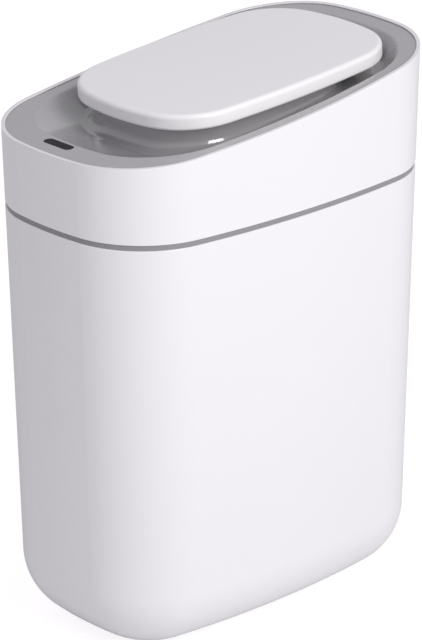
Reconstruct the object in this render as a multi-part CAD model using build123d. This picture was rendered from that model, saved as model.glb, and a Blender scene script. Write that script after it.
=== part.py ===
from build123d import *
import math
import os

# A slim bin whose head lifts off and whose lid is opened by a small gear motor.
# All lengths are millimetres. The front with the sensor faces -Y, a long side faces +X,
# and the origin lies on the floor under the middle of the bin.

# Outer form, measured at the seam between the bin and its head
half_width = 90.5
half_depth = 145.0
corner_radius = 62.5
side_bow_radius = 700.0
end_bow_radius = 260.0
draft_angle = 1.25
seam_above_base = 302.0
seam_gap = 4.0
rim_front_above_seam = 50.5
rim_rear_above_seam = 84.0
rim_dip = 2.8

# Bin
bin_wall = 2.4
bin_floor = 3.6
base_edge_radius = 48.0
bin_rim_rounding = 0.7
foot_radius = 8.0
foot_height = 2.4
foot_stand = 1.2
foot_from_side = 68.5
foot_from_end = 69.0

# Clearances
overrun = 6.0
slide_fit = 0.4
seat_fit = 0.1
panel_fit = 0.3
running_fit = 0.05
pin_fit = 0.02
thread_fit = 0.05
swing_gap = 0.8

# Head shell
head_wall = 2.0
lip_width = 2.6
lip_thickness = 1.0
lip_rounding = 0.45
shell_boss_radius = 4.6
shell_boss_height = 22.0
shell_boss_rib = 2.4
shell_boss_from_side = 17.0
shell_boss_from_end = 44.0

# Frame under the head
frame_thickness = 2.4
frame_band_inset = 1.0
skirt_depth = 18.0
skirt_wall = 2.0

# Deck
deck_thickness = 2.2
deck_edge_depth = 8.0
dish_side_ledge = 10.5
dish_front_ledge = 23.5
dish_rear_ledge = 13.0
dish_corner_share = 0.72
dish_end_bow = 215.0
dish_depth = 17.0
dish_slope = 38.0
dish_front_run = 36.0
dish_floor_rounding = 8.0
dish_edge_rounding = 2.2
column_radius = 4.2
column_beside_mouth = 11.0
column_from_mouth_front = 24.0
column_from_mouth_rear = 22.0

# Mouth that the waste falls through
mouth_from_dish_side = 26.0
mouth_from_dish_front = 49.5
mouth_from_dish_rear = 52.0
mouth_corner_share = 0.741
mouth_end_bow = 165.0
throat_wall = 2.2
collar_rounding = 7.5

# Lid
lid_from_dish_side = 11.0
lid_from_dish_front = 33.6
lid_from_dish_rear = 11.9
lid_corner_share = 0.638
lid_end_bow = 165.0
lid_above_rim = 11.25
lid_slope = 4.2
lid_thickness = 10.8
lid_top_rounding = 3.0
lid_lower_rounding = 2.0
lid_wall = 2.8
lid_skin = 2.4
lid_boss_radius = 3.2
lid_boss_from_side = 25.0
lid_boss_from_end = 42.0
liner_thickness = 2.0
seal_thickness = 1.2
seal_overhang = 0.6
seal_gap = 0.3

# Lid hinge
hinge_from_lid_end = 14.0
hinge_below_lid_top = 7.4
hinge_shaft_radius = 2.0
hinge_bush_radius = 2.8
hinge_bush_flange = 3.6
hinge_bush_flange_thickness = 0.6
hinge_post_radius = 4.4
hinge_post_thickness = 4.5
hinge_post_across = 26.0
post_foot_radius = 5.0
post_lean = 14.0
post_slot_ahead = 20.0
post_slot_behind = 7.5
knuckle_radius = 4.2
knuckle_width = 6.0
clip_radius = 3.4
clip_thickness = 0.8
lid_opening = 70.0

# Gear train, module in millimetres and angles from +Y towards +Z
pressure_angle = 25.0
gear_backlash = 0.06
sector_pitch_radius = 25.0
sector_teeth = 50
drive_teeth = 14
drive_gear_width = 5.0
drive_gear_across = 37.0
wheel_pitch_radius = 14.4
wheel_teeth = 36
pinion_teeth = 12
inner_gear_width = 4.0
inner_gear_gap = 1.6
transfer_direction = -120.0
output_direction = -75.0
idler_direction = -80.0
motor_direction = 10.0
sector_hub_radius = 3.7
sector_rim_thickness = 3.4
sector_end_margin = 14.0
sector_web_angle = 52.0
gear_pin_radius = 1.5
gear_hub_radius = 3.4
gear_end_play = 0.4

# Gearbox and motor
gearbox_wall = 1.6
gearbox_depth = 16.0
gearbox_tooth_room = 0.9
foot_ahead_of_idler = 12.0
foot_behind_idler = 14.0
motor_radius = 10.0
motor_length = 25.0
motor_nose_radius = 3.0
motor_nose_length = 1.2
motor_shaft_radius = 1.0
motor_tab_width = 2.2
motor_tab_length = 3.0
motor_tab_thickness = 0.6
motor_tab_offset = 6.0

# Battery bay in the front of the head
cell_radius = 7.25
cell_length = 49.5
cell_nub_radius = 2.75
cell_nub_length = 1.0
cell_pitch = 15.2
cell_count = 3
cell_room = 0.4
bay_from_front = 36.0
bay_end_room = 3.2
bay_wall = 1.6
bay_ledge = 7.0
contact_thickness = 0.5
contact_width = 9.0
contact_height = 10.0
spring_radius = 3.0
bay_boss_radius = 3.2
bay_boss_height = 4.0
door_barrel_radius = 1.2
door_pin_radius = 0.7
door_pin_length = 1.6
door_opening = 80.0

# Boards, sensor and light
board_thickness = 1.6
board_half_width = 37.0
board_half_depth = 19.0
board_post_height = 3.0
board_post_radius = 2.6
chip_side = 9.0
chip_height = 1.6
buzzer_radius = 5.5
buzzer_height = 5.0
socket_length = 8.0
socket_width = 4.5
socket_height = 5.0
sensor_across = -6.5
sensor_from_front = 16.8
sensor_length = 26.4
sensor_width = 7.4
sensor_thickness = 1.6
sensor_sill = 1.4
sensor_board_length = 38.0
sensor_board_width = 12.0
sensor_board_below = 12.0
sensor_post_across = 16.0
sensor_post_radius = 2.2
eye_radius = 2.2
eye_flange_radius = 2.6
eye_flange_height = 1.0
eye_across = 7.0
eye_height = 5.4
light_radius = 1.0
light_height = 4.4

# Power switch in the rear wall
switch_above_seam = 24.8
switch_half_length = 9.5
switch_half_width = 6.5
switch_depth = 12.0
switch_wall = 1.0
switch_blade = 4.8
bezel_margin = 1.2
bezel_thickness = 1.6
rocker_radius = 8.0
rocker_proud = 1.4
rocker_thickness = 4.6
rocker_pin_radius = 1.0
rocker_tilt = 9.0

# Wires inside the head
wire_radius = 1.2
wire_bend = 7.0
plug_depth = 3.0

# Screws
screw_radius = 1.5
screw_head_radius = 2.9
screw_head_height = 1.8
screw_length = 12.0
short_screw_length = 6.0
screw_hole_radius = 1.7

# Heights and places that follow from the sizes above
lean = math.tan(math.radians(draft_angle))
base_z = foot_stand
seam_z = base_z + seam_above_base
bin_top_z = seam_z - seam_gap
frame_top_z = bin_top_z + frame_thickness
rim_front_z = seam_z + rim_front_above_seam
rim_rear_z = seam_z + rim_rear_above_seam
rim_middle_z = (rim_front_z + rim_rear_z) / 2
rim_rise = (rim_rear_z - rim_front_z) / 2
rim_slope = math.degrees(math.atan(rim_rise / half_depth))
head_ceiling_z = rim_rear_z + overrun
lid_top_z = rim_middle_z + lid_above_rim
foot_across = half_width - foot_from_side
foot_along = half_depth - foot_from_end
shell_boss_across = half_width - shell_boss_from_side
shell_boss_along = half_depth - shell_boss_from_end
dish_front = dish_front_ledge - half_depth
dish_rear = half_depth - dish_rear_ledge
dish_half_width = half_width - dish_side_ledge
mouth_front = dish_front + mouth_from_dish_front
mouth_rear = dish_rear - mouth_from_dish_rear
mouth_half_width = dish_half_width - mouth_from_dish_side
lid_front = dish_front + lid_from_dish_front
lid_rear = dish_rear - lid_from_dish_rear
lid_half_width = dish_half_width - lid_from_dish_side
lid_half_depth = (lid_rear - lid_front) / 2
lid_middle = (lid_rear + lid_front) / 2
column_across = mouth_half_width + column_beside_mouth
column_front = mouth_front + column_from_mouth_front
column_rear = mouth_rear - column_from_mouth_rear
lid_boss_across = lid_half_width - lid_boss_from_side
lid_boss_along = lid_half_depth - lid_boss_from_end
bay_middle = half_depth - bay_from_front
sensor_along = sensor_from_front - half_depth
drive_module = 2 * sector_pitch_radius / sector_teeth
inner_module = 2 * wheel_pitch_radius / wheel_teeth


def rim_height(y):
    """Height of the head's curved rim at a place along the bin."""
    share = y / half_depth
    return rim_middle_z + rim_rise * share - rim_dip * (1 - share ** 2)


class Outline:
    """An oblong seen from above, whose sides and ends bow out between rounded corners."""

    def __init__(self, half_x, half_y, corner, side_bow, end_bow, middle=0):
        self.half_x = half_x
        self.half_y = half_y
        self.corner = corner
        self.side_bow = side_bow
        self.end_bow = end_bow
        self.middle = middle

    def grown(self, by):
        return Outline(self.half_x + by, self.half_y + by, self.corner + by,
                       self.side_bow + by, self.end_bow + by, self.middle)

    def quarter(self):
        """Where the arcs of the +X, +Y quarter meet, and the middle of its corner arc."""
        side_centre = Vector(self.half_x - self.side_bow, 0)
        end_centre = Vector(0, self.half_y - self.end_bow)
        to_side = self.side_bow - self.corner
        to_end = self.end_bow - self.corner
        between = end_centre - side_centre
        along = (to_side ** 2 - to_end ** 2 + between.length ** 2) / (2 * between.length)
        aside = math.sqrt(to_side ** 2 - along ** 2)
        unit = between.normalized()
        corner_centre = side_centre + unit * along + Vector(unit.Y, -unit.X) * aside
        if corner_centre.Y < 0 or corner_centre.X < 0:
            corner_centre = side_centre + unit * along - Vector(unit.Y, -unit.X) * aside
        to_side_join = (corner_centre - side_centre).normalized()
        to_end_join = (corner_centre - end_centre).normalized()
        side_join = side_centre + to_side_join * self.side_bow
        end_join = end_centre + to_end_join * self.end_bow
        corner_middle = corner_centre + (to_side_join + to_end_join).normalized() * self.corner
        return side_join, corner_middle, end_join

    def face(self):
        side_join, corner_middle, end_join = self.quarter()
        side_tip = Vector(self.half_x, 0)
        end_tip = Vector(0, self.half_y)

        def at(point, to_x, to_y):
            return (point.X * to_x, self.middle + point.Y * to_y)

        arcs = []
        for to_x, to_y in ((1, 1), (-1, 1), (-1, -1), (1, -1)):
            corner = [at(p, to_x, to_y) for p in (side_join, corner_middle, end_join)]
            arcs.append(ThreePointArc(*corner))
        for to_x in (1, -1):
            side = [at(side_join, to_x, -1), at(side_tip, to_x, 1), at(side_join, to_x, 1)]
            arcs.append(ThreePointArc(*side))
        for to_y in (1, -1):
            end = [at(end_join, -1, to_y), at(end_tip, 1, to_y), at(end_join, 1, to_y)]
            arcs.append(ThreePointArc(*end))
        return Face(Wire([arc.edge() for arc in arcs]))


body_outline = Outline(half_width, half_depth, corner_radius, side_bow_radius, end_bow_radius)
deck_outline = body_outline.grown(-head_wall - panel_fit)
dish_outline = Outline(dish_half_width, (dish_rear - dish_front) / 2, dish_corner_share * dish_half_width,
                       side_bow_radius, dish_end_bow, (dish_rear + dish_front) / 2)
mouth_outline = Outline(mouth_half_width, (mouth_rear - mouth_front) / 2, mouth_corner_share * mouth_half_width,
                        side_bow_radius, mouth_end_bow, (mouth_rear + mouth_front) / 2)
lid_outline = Outline(lid_half_width, lid_half_depth, lid_corner_share * lid_half_width,
                      side_bow_radius, lid_end_bow)

# Tilted places: the chord of the rim, and the top of the lid
chord_place = Pos(0, 0, rim_middle_z) * Rot(rim_slope, 0, 0)
lid_place = Pos(0, lid_middle, lid_top_z) * Rot(lid_slope, 0, 0)
lid_turn = math.radians(lid_slope)
hinge_on_lid = lid_half_depth - hinge_from_lid_end
hinge_y = lid_middle + hinge_on_lid * math.cos(lid_turn) + hinge_below_lid_top * math.sin(lid_turn)
hinge_z = lid_top_z + hinge_on_lid * math.sin(lid_turn) - hinge_below_lid_top * math.cos(lid_turn)


def block(left, right, front, rear, low, high):
    """Square-cornered solid between six coordinates."""
    size = Box(right - left, rear - front, high - low)
    return Pos((left + right) / 2, (front + rear) / 2, (low + high) / 2) * size


def upright(radius, x, y, low, high):
    """Round bar along Z."""
    return Pos(x, y, (low + high) / 2) * Cylinder(radius, high - low)


def crosswise(radius, y, z, left, right):
    """Round bar along X."""
    return Pos((left + right) / 2, y, z) * Rot(0, 90, 0) * Cylinder(radius, right - left)


def drafted(outline, low, high):
    """Solid between two heights with the draft of the body, whose outline is given at the seam."""
    foot = outline.grown((low - seam_z) * lean)
    return extrude(Pos(0, 0, low) * foot.face(), amount=high - low, taper=-draft_angle)


def straight(outline, low, high):
    """Solid with upright walls between two heights."""
    return extrude(Pos(0, 0, low) * outline.face(), amount=high - low)


def crosswise_slab(outline, left, right):
    """Flat outline given in Y and Z, made solid between two places along X."""
    return extrude(Pos(left, 0, 0) * outline, amount=right - left, dir=(1, 0, 0))


def below_rim(drop):
    """All that lies under the curved rim once the rim is lowered."""
    end = half_depth + 2 * overrun
    low = base_z
    front = (0, -end, rim_height(-end) - drop)
    middle = (0, 0, rim_height(0) - drop)
    rear = (0, end, rim_height(end) - drop)
    top = ThreePointArc(front, middle, rear)
    sides = Polyline(rear, (0, end, low), (0, -end, low), front)
    profile = Face(Wire(top.edges() + sides.edges()))
    return extrude(profile, amount=half_width + 2 * overrun, dir=(1, 0, 0), both=True)


def dish_section(depth, grown):
    """Outline of the bowl at a depth under the chord of the rim: steep at the sides, gentle at the front."""
    steep = math.tan(math.radians(dish_slope))
    gentle = dish_front_run / (dish_depth - rim_dip)
    out = grown * math.hypot(1, steep) - (depth - rim_dip) * steep
    front_out = grown * math.hypot(1, gentle) - (depth - rim_dip) * gentle
    front = dish_front - front_out
    rear = dish_rear + out
    corner = dish_corner_share * dish_half_width + out
    return Outline(dish_half_width + out, (rear - front) / 2, corner, side_bow_radius, dish_end_bow + out,
                   (rear + front) / 2)


def dish(grown=0):
    """Bowl under the lid, cut out of the deck; grown by the deck's thickness it gives the underside."""
    depth = dish_depth + grown
    floor = Pos(0, 0, -depth) * dish_section(depth, grown).face()
    top = Pos(0, 0, overrun) * dish_section(-overrun, grown).face()
    bowl = loft([floor, top], ruled=True)
    bowl = fillet(bowl.faces().sort_by(Axis.Z)[0].edges(), dish_floor_rounding + grown)
    return chord_place * bowl


# Places of the screws that hold the head together
column_places = [(x, y) for x in (-column_across, column_across) for y in (column_front, column_rear)]
shell_boss_places = [(x, y) for x in (-shell_boss_across, shell_boss_across)
                     for y in (-shell_boss_along, shell_boss_along)]


def bin_body():
    outer = drafted(body_outline, base_z, bin_top_z)
    outer = fillet(outer.faces().sort_by(Axis.Z)[0].edges(), base_edge_radius)
    inner = drafted(body_outline.grown(-bin_wall), base_z + bin_floor, bin_top_z + overrun)
    inner = fillet(inner.faces().sort_by(Axis.Z)[0].edges(), base_edge_radius - bin_wall)
    shell = outer - inner
    shell = fillet(shell.faces().sort_by(Axis.Z)[-1].edges(), bin_rim_rounding)
    for x in (-foot_across, foot_across):
        for y in (-foot_along, foot_along):
            shell -= upright(foot_radius + panel_fit, x, y, 0, foot_height)
    return shell


def rubber_feet():
    feet = []
    for x in (-foot_across, foot_across):
        for y in (-foot_along, foot_along):
            foot = upright(foot_radius, x, y, 0, foot_height)
            feet.append(chamfer(foot.edges().sort_by(Axis.Z)[0], foot_stand / 2).solid())
    return feet


def head_shell():
    outer = drafted(body_outline, seam_z, head_ceiling_z) & below_rim(0)
    hollow = drafted(body_outline.grown(-head_wall), seam_z - overrun, head_ceiling_z)
    shell = outer - (hollow & below_rim(lip_thickness))
    shell -= drafted(body_outline.grown(-lip_width), seam_z - overrun, head_ceiling_z)
    for x, y in shell_boss_places:
        boss = upright(shell_boss_radius, x, y, seam_z, seam_z + shell_boss_height)
        rib = block(0, 4 * shell_boss_radius, -shell_boss_rib / 2, shell_boss_rib / 2,
                    seam_z, seam_z + shell_boss_height)
        boss += Pos(x, y, 0) * Rot(0, 0, math.degrees(math.atan2(y, x))) * rib
        shell += boss & drafted(body_outline.grown(-head_wall / 2), seam_z, head_ceiling_z)
    rim = max(shell.faces(), key=lambda face: face.center().Z)
    shell = fillet(rim.edges(), lip_rounding)
    for x, y in shell_boss_places:
        shell -= upright(screw_radius + thread_fit, x, y, seam_z - overrun, seam_z + screw_length)
    return shell - switch_opening()


def head_frame():
    outer = body_outline.grown(-frame_band_inset)
    inner = body_outline.grown(-bin_wall - slide_fit)
    band = drafted(outer, bin_top_z, seam_z) - drafted(inner.grown(-skirt_wall), bin_top_z, seam_z + overrun)
    plate = drafted(inner, bin_top_z, frame_top_z)
    skirt = drafted(inner, bin_top_z - skirt_depth, frame_top_z)
    skirt -= drafted(inner.grown(-skirt_wall), bin_top_z - skirt_depth - overrun, frame_top_z)
    frame = band + plate + skirt
    for x, y in column_places:
        frame -= upright(screw_hole_radius, x, y, bin_top_z - overrun, seam_z)
    for x, y in shell_boss_places:
        post = upright(shell_boss_radius, x, y, bin_top_z, seam_z)
        frame += post
        frame -= upright(screw_hole_radius, x, y, bin_top_z - overrun, seam_z + overrun)
        frame -= upright(screw_head_radius + panel_fit, x, y, bin_top_z - overrun, bin_top_z)
    frame -= straight(mouth_outline.grown(throat_wall + panel_fit), bin_top_z - overrun, seam_z + overrun)
    for x, y in bay_screw_spots():
        frame += upright(bay_boss_radius, x, y, bin_top_z - bay_boss_height, frame_top_z)
        frame -= upright(screw_radius + thread_fit, x, y, frame_top_z - short_screw_length, frame_top_z)
    for x, y in gearbox_foot_places():
        frame -= upright(screw_hole_radius, x, y, bin_top_z - overrun, seam_z)
    half_x, front, rear = bay_room()
    frame -= block(-half_x, half_x, front, rear, bin_top_z - overrun, seam_z)
    axis_y, axis_z = door_axis()
    pin_reach = half_x + door_pin_length
    return frame - crosswise(door_pin_radius + running_fit, axis_y, axis_z, -pin_reach, pin_reach)


def deck():
    seat = lip_thickness + seat_fit
    slab = drafted(deck_outline, frame_top_z, head_ceiling_z) & below_rim(seat)
    bowl = dish()
    under_bowl = dish(deck_thickness)
    inside = drafted(deck_outline.grown(-deck_thickness), frame_top_z - overrun, head_ceiling_z)
    hollow = (inside & below_rim(seat + deck_thickness)) - under_bowl
    lower = below_rim(seat + deck_edge_depth) - under_bowl
    panel = slab - bowl - hollow - lower
    collar_top = -lid_thickness - seal_thickness - seal_gap
    throat = straight(mouth_outline.grown(throat_wall), bin_top_z, head_ceiling_z)
    panel += throat & lid_half_space(-head_ceiling_z, collar_top)
    foot = [edge for edge in panel.edges() if around_collar(edge)]
    panel = fillet(foot, collar_rounding)
    for x, y in column_places:
        column = upright(column_radius, x, y, frame_top_z, head_ceiling_z)
        panel += (column & slab) - bowl
    panel -= straight(mouth_outline, base_z, head_ceiling_z)
    crease = [edge for edge in panel.edges()
              if edge_on(edge, seat) and abs(edge.center().X) < dish_half_width + overrun]
    panel = fillet(crease, dish_edge_rounding)
    for x, y in column_places:
        panel -= upright(screw_radius + thread_fit, x, y, frame_top_z - overrun, frame_top_z + screw_length)
    panel += hinge_posts()
    panel -= sector_slot()
    panel -= sensor_seat()
    panel += sensor_posts()
    return panel


def edge_on(edge, drop):
    """True for an edge of the dish that lies all along on the deck's upper face."""
    samples = (0.1, 0.5, 0.9)
    on_top = all(abs((edge @ t).Z - (rim_height((edge @ t).Y) - drop)) < thread_fit for t in samples)
    reach = deck_outline.grown(-deck_thickness)
    inside = abs((edge @ 0.5).Y) < reach.half_y and not near_outer_edge(edge @ 0.5)
    return on_top and inside


def around_collar(edge):
    """True for an edge where the collar of the mouth rises from the floor of the dish."""
    samples = [edge @ t for t in (0.1, 0.5, 0.9)]
    chord = Plane(chord_place)
    collar = mouth_outline.grown(throat_wall).face().outer_wire()
    on_floor = all(abs(chord.to_local_coords(p).Z + dish_depth) < thread_fit for p in samples)
    return on_floor and all(collar.distance_to(Vector(p.X, p.Y, 0)) < thread_fit for p in samples)


def near_outer_edge(point):
    """True for a point on the outer wall of the deck."""
    ring = deck_outline.grown((point.Z - seam_z) * lean)
    wall = ring.face().outer_wire()
    return wall.distance_to(Vector(point.X, point.Y, 0)) < deck_thickness


# Battery bay

bay_half_width = (cell_length + cell_nub_length) / 2 + bay_end_room
bay_half_depth = cell_count * cell_pitch / 2 + cell_room
cell_axis_z = frame_top_z + cell_room + cell_radius
bay_ceiling_z = cell_axis_z + cell_radius + cell_room
board_low_z = bay_ceiling_z + bay_wall + board_post_height
board_top_z = board_low_z + board_thickness
bay_screw_places = [(x, y) for x in (-1, 1) for y in (-1, 1)]
bay_screw_across = bay_half_width + bay_wall + bay_ledge / 2
bay_screw_along = bay_half_depth - bay_ledge
board_post_across = board_half_width - 3 * board_post_radius
board_post_along = board_half_depth - board_post_radius


def bay_screw_spots():
    return [(x * bay_screw_across, y * bay_screw_along - bay_middle) for x, y in bay_screw_places]


def board_screw_spots():
    return [(x * board_post_across, y * board_post_along - bay_middle) for x, y in bay_screw_places]


def bay_room():
    """Half width, front and rear of the space for the cells."""
    return bay_half_width, -bay_middle - bay_half_depth, -bay_middle + bay_half_depth


def door_axis():
    """Height and place along the bin of the battery door's pins."""
    rear = bay_room()[2]
    return rear - slide_fit - door_barrel_radius, bin_top_z + door_barrel_radius


def cell_rows():
    """Place along the bin of each cell, with the side its nub faces."""
    first = -bay_middle - (cell_count - 1) * cell_pitch / 2
    return [(first + n * cell_pitch, 1 if n % 2 == 0 else -1) for n in range(cell_count)]


def battery_box():
    half_x, front, rear = bay_room()
    outer = block(-half_x - bay_wall, half_x + bay_wall, front - bay_wall, rear + bay_wall,
                  frame_top_z, bay_ceiling_z + bay_wall)
    ledge = block(-half_x - bay_wall - bay_ledge, half_x + bay_wall + bay_ledge, front, rear,
                  frame_top_z, frame_top_z + bay_wall)
    box = outer + ledge - block(-half_x, half_x, front, rear, frame_top_z - overrun, bay_ceiling_z)
    for x, y in bay_screw_spots():
        box -= upright(screw_hole_radius, x, y, frame_top_z - overrun, frame_top_z + overrun)
    for x, y in board_screw_spots():
        box += upright(board_post_radius, x, y, bay_ceiling_z, board_low_z)
        box -= upright(screw_radius + thread_fit, x, y, bay_ceiling_z + bay_wall, board_top_z)
    return box


def batteries():
    cells = []
    half = (cell_length + cell_nub_length) / 2
    for y, side in cell_rows():
        ends = sorted((-half * side, (half - cell_nub_length) * side))
        cell = crosswise(cell_radius, y, cell_axis_z, ends[0], ends[1])
        nub = sorted(((half - cell_nub_length) * side, half * side))
        cells.append(cell + crosswise(cell_nub_radius, y, cell_axis_z, nub[0], nub[1]))
    return cells


def battery_contacts():
    contacts = []
    half = (cell_length + cell_nub_length) / 2
    for y, side in cell_rows():
        for end in (-1, 1):
            span = sorted((end * (bay_half_width - contact_thickness), end * bay_half_width))
            plate = block(span[0], span[1], y - contact_width / 2, y + contact_width / 2,
                          cell_axis_z - contact_height / 2, cell_axis_z + contact_height / 2)
            reach = sorted((end * half, end * (bay_half_width - contact_thickness)))
            radius = cell_nub_radius if end == side else spring_radius
            contacts.append(plate + crosswise(radius, y, cell_axis_z, reach[0], reach[1]))
    return contacts


def battery_door():
    half_x, front, rear = bay_room()
    axis_y, axis_z = door_axis()
    side = half_x - slide_fit
    door = block(-side, side, front + slide_fit, axis_y, bin_top_z, bin_top_z + frame_thickness)
    door += crosswise(door_barrel_radius, axis_y, axis_z, -side, side)
    pin_reach = side + door_pin_length
    door += crosswise(door_pin_radius, axis_y, axis_z, -pin_reach, pin_reach)
    grip = crosswise(door_barrel_radius * 2, front + 4 * door_barrel_radius, bin_top_z - door_barrel_radius,
                     -contact_width, contact_width)
    return door - grip


def main_board():
    board = block(-board_half_width, board_half_width, -bay_middle - board_half_depth,
                  -bay_middle + board_half_depth, board_low_z, board_top_z)
    for x, y in board_screw_spots():
        board -= upright(screw_hole_radius, x, y, board_low_z - overrun, board_top_z + overrun)
    return board


# Sockets at the board's edges: middle across and along, and the way the wire leaves
socket_left = -board_half_width + socket_width
motor_socket_y = -bay_middle + board_half_depth - socket_length
switch_socket_y = motor_socket_y - socket_length - 2 * slide_fit
socket_wire_z = board_top_z + socket_height / 2
sensor_socket_x = sensor_across - sensor_board_length / 4
sensor_socket_y = -bay_middle - board_half_depth + socket_length


def board_parts():
    parts = []
    for y in (motor_socket_y, switch_socket_y):
        parts.append(block(-board_half_width, socket_left, y - socket_length / 2, y + socket_length / 2,
                           board_top_z, board_top_z + socket_height))
    parts.append(block(-socket_left, board_half_width, motor_socket_y - socket_length / 2,
                       motor_socket_y + socket_length / 2, board_top_z, board_top_z + socket_height))
    parts.append(block(sensor_socket_x - socket_length / 2, sensor_socket_x + socket_length / 2,
                       sensor_socket_y - socket_width / 2, sensor_socket_y + socket_width / 2,
                       board_top_z, board_top_z + socket_height))
    chip_y = -bay_middle
    parts.append(block(-chip_side / 2, chip_side / 2, chip_y - chip_side / 2, chip_y + chip_side / 2,
                       board_top_z, board_top_z + chip_height))
    parts.append(upright(buzzer_radius, chip_side * 2, chip_y, board_top_z, board_top_z + buzzer_height))
    return parts


# Sensor in the front ledge

sensor_turn = math.atan(rim_rise / half_depth + 2 * rim_dip * sensor_along / half_depth ** 2)
sensor_place = (Pos(sensor_across, sensor_along, rim_height(sensor_along) - lip_thickness - seat_fit)
                * Rot(math.degrees(sensor_turn), 0, 0))


def slot_plate(length, width, low, high):
    """Flat bar with round ends in the plane of the sensor."""
    return Pos(0, 0, low) * extrude(SlotOverall(length, width), amount=high - low)


def sensor_seat():
    seat = slot_plate(sensor_length + 2 * seat_fit, sensor_width + 2 * seat_fit, -sensor_thickness, overrun)
    view = slot_plate(sensor_length - 2 * sensor_sill, sensor_width - 2 * sensor_sill,
                      -2 * deck_thickness, overrun)
    return sensor_place * (seat + view)


def sensor_posts():
    posts = []
    for x in (-sensor_post_across, sensor_post_across):
        post = upright(sensor_post_radius, x, 0, -sensor_board_below, -deck_thickness / 2)
        post -= upright(gear_pin_radius / 2, x, 0, -sensor_board_below, -deck_thickness * 2)
        posts.append(sensor_place * post)
    return posts


def sensor_window():
    return sensor_place * slot_plate(sensor_length, sensor_width, -sensor_thickness, 0)


def sensor_board():
    half_x = sensor_board_length / 2
    half_y = sensor_board_width / 2
    board = block(-half_x, half_x, -half_y, half_y, -sensor_board_below - board_thickness, -sensor_board_below)
    return sensor_place * board


def sensor_eye(x):
    flange = upright(eye_flange_radius, x, 0, -sensor_board_below, -sensor_board_below + eye_flange_height)
    top = -sensor_board_below + eye_flange_height + eye_height
    stem = upright(eye_radius, x, 0, -sensor_board_below, top)
    dome = Pos(x, 0, top) * Sphere(eye_radius)
    return sensor_place * (flange + stem + dome)


def status_light():
    return sensor_place * upright(light_radius, 0, 0, -sensor_board_below,
                                  -sensor_board_below + eye_height + light_height / 2)


# Power switch in the rear wall

switch_place = (Pos(0, half_depth + switch_above_seam * lean, seam_z + switch_above_seam)
                * Rot(-90 - draft_angle, 0, 0))
rocker_pivot = -rocker_thickness / 2
rocker_half_length = switch_half_length - switch_wall - swing_gap
rocker_half_width = switch_half_width - switch_wall - slide_fit / 2


def switch_opening():
    return switch_place * block(-switch_half_length - seat_fit, switch_half_length + seat_fit,
                                -switch_half_width - seat_fit, switch_half_width + seat_fit,
                                -2 * head_wall, overrun)


def switch_housing():
    body = block(-switch_half_length, switch_half_length, -switch_half_width, switch_half_width,
                 -switch_depth, bezel_thickness)
    bezel = block(-switch_half_length - bezel_margin, switch_half_length + bezel_margin,
                  -switch_half_width - bezel_margin, switch_half_width + bezel_margin, 0, bezel_thickness)
    bezel = fillet(bezel.edges().filter_by(Axis.Z), bezel_margin)
    bezel = fillet(bezel.faces().sort_by(Axis.Z)[-1].edges(), bezel_thickness / 3)
    room = block(-switch_half_length + switch_wall, switch_half_length - switch_wall,
                 -switch_half_width + switch_wall, switch_half_width - switch_wall,
                 -switch_depth + switch_wall, overrun)
    housing = body + bezel - room
    pin = Pos(0, 0, rocker_pivot) * Rot(90, 0, 0) * Cylinder(rocker_pin_radius + running_fit,
                                                             2 * switch_half_width - switch_wall)
    housing -= pin
    for x in (-switch_half_length / 2, switch_half_length / 2):
        housing += block(x - switch_wall, x + switch_wall, -switch_wall / 2, switch_wall / 2,
                         -switch_depth - switch_blade, -switch_depth + switch_wall / 2)
    return switch_place * housing


def switch_rocker():
    paddle = block(-rocker_half_length, rocker_half_length, -rocker_half_width, rocker_half_width,
                   rocker_pivot, rocker_proud)
    hollow_radius = 4 * rocker_half_length
    hollow = (Pos(0, 0, rocker_proud + hollow_radius - rocker_proud / 2) * Rot(90, 0, 0)
              * Cylinder(hollow_radius, 4 * rocker_half_width))
    barrel = Pos(0, 0, rocker_pivot) * Rot(90, 0, 0) * Cylinder(rocker_thickness / 2, 2 * rocker_half_width)
    pin = Pos(0, 0, rocker_pivot) * Rot(90, 0, 0) * Cylinder(rocker_pin_radius,
                                                             2 * switch_half_width - 2 * switch_wall + seat_fit)
    rocker = paddle - hollow + barrel + pin
    turned = Pos(0, 0, rocker_pivot) * Rot(0, -rocker_tilt, 0) * Pos(0, 0, -rocker_pivot) * rocker
    return switch_place * turned


# Lid



def lid_half_space(low, high):
    """Space between two depths under the top of the lid, measured square to it."""
    return lid_place * block(-half_width, half_width, -half_depth, half_depth, low, high)


def lid_boss_places():
    return [(x, y) for x in (-lid_boss_across, lid_boss_across) for y in (-lid_boss_along, lid_boss_along)]


def lid_cover():
    slab = Pos(0, 0, -lid_thickness) * extrude(lid_outline.face(), amount=lid_thickness)
    slab = fillet(slab.faces().sort_by(Axis.Z)[-1].edges(), lid_top_rounding)
    slab = fillet(slab.faces().sort_by(Axis.Z)[0].edges(), lid_lower_rounding)
    room = Pos(0, 0, -lid_thickness - overrun) * extrude(lid_outline.grown(-lid_wall).face(),
                                                         amount=lid_thickness + overrun - lid_skin)
    cover = slab - room
    for x, y in lid_boss_places():
        boss = upright(lid_boss_radius, x, y, -lid_thickness + liner_thickness, -lid_skin / 2)
        pilot = upright(screw_radius + thread_fit, x, y, -lid_thickness, -lid_skin - thread_fit)
        cover = cover + boss - pilot
    return lid_place * cover


# Width beside a hinge post that its bush, the clip and play take up
clip_room = hinge_bush_flange_thickness + clip_thickness + swing_gap


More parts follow.
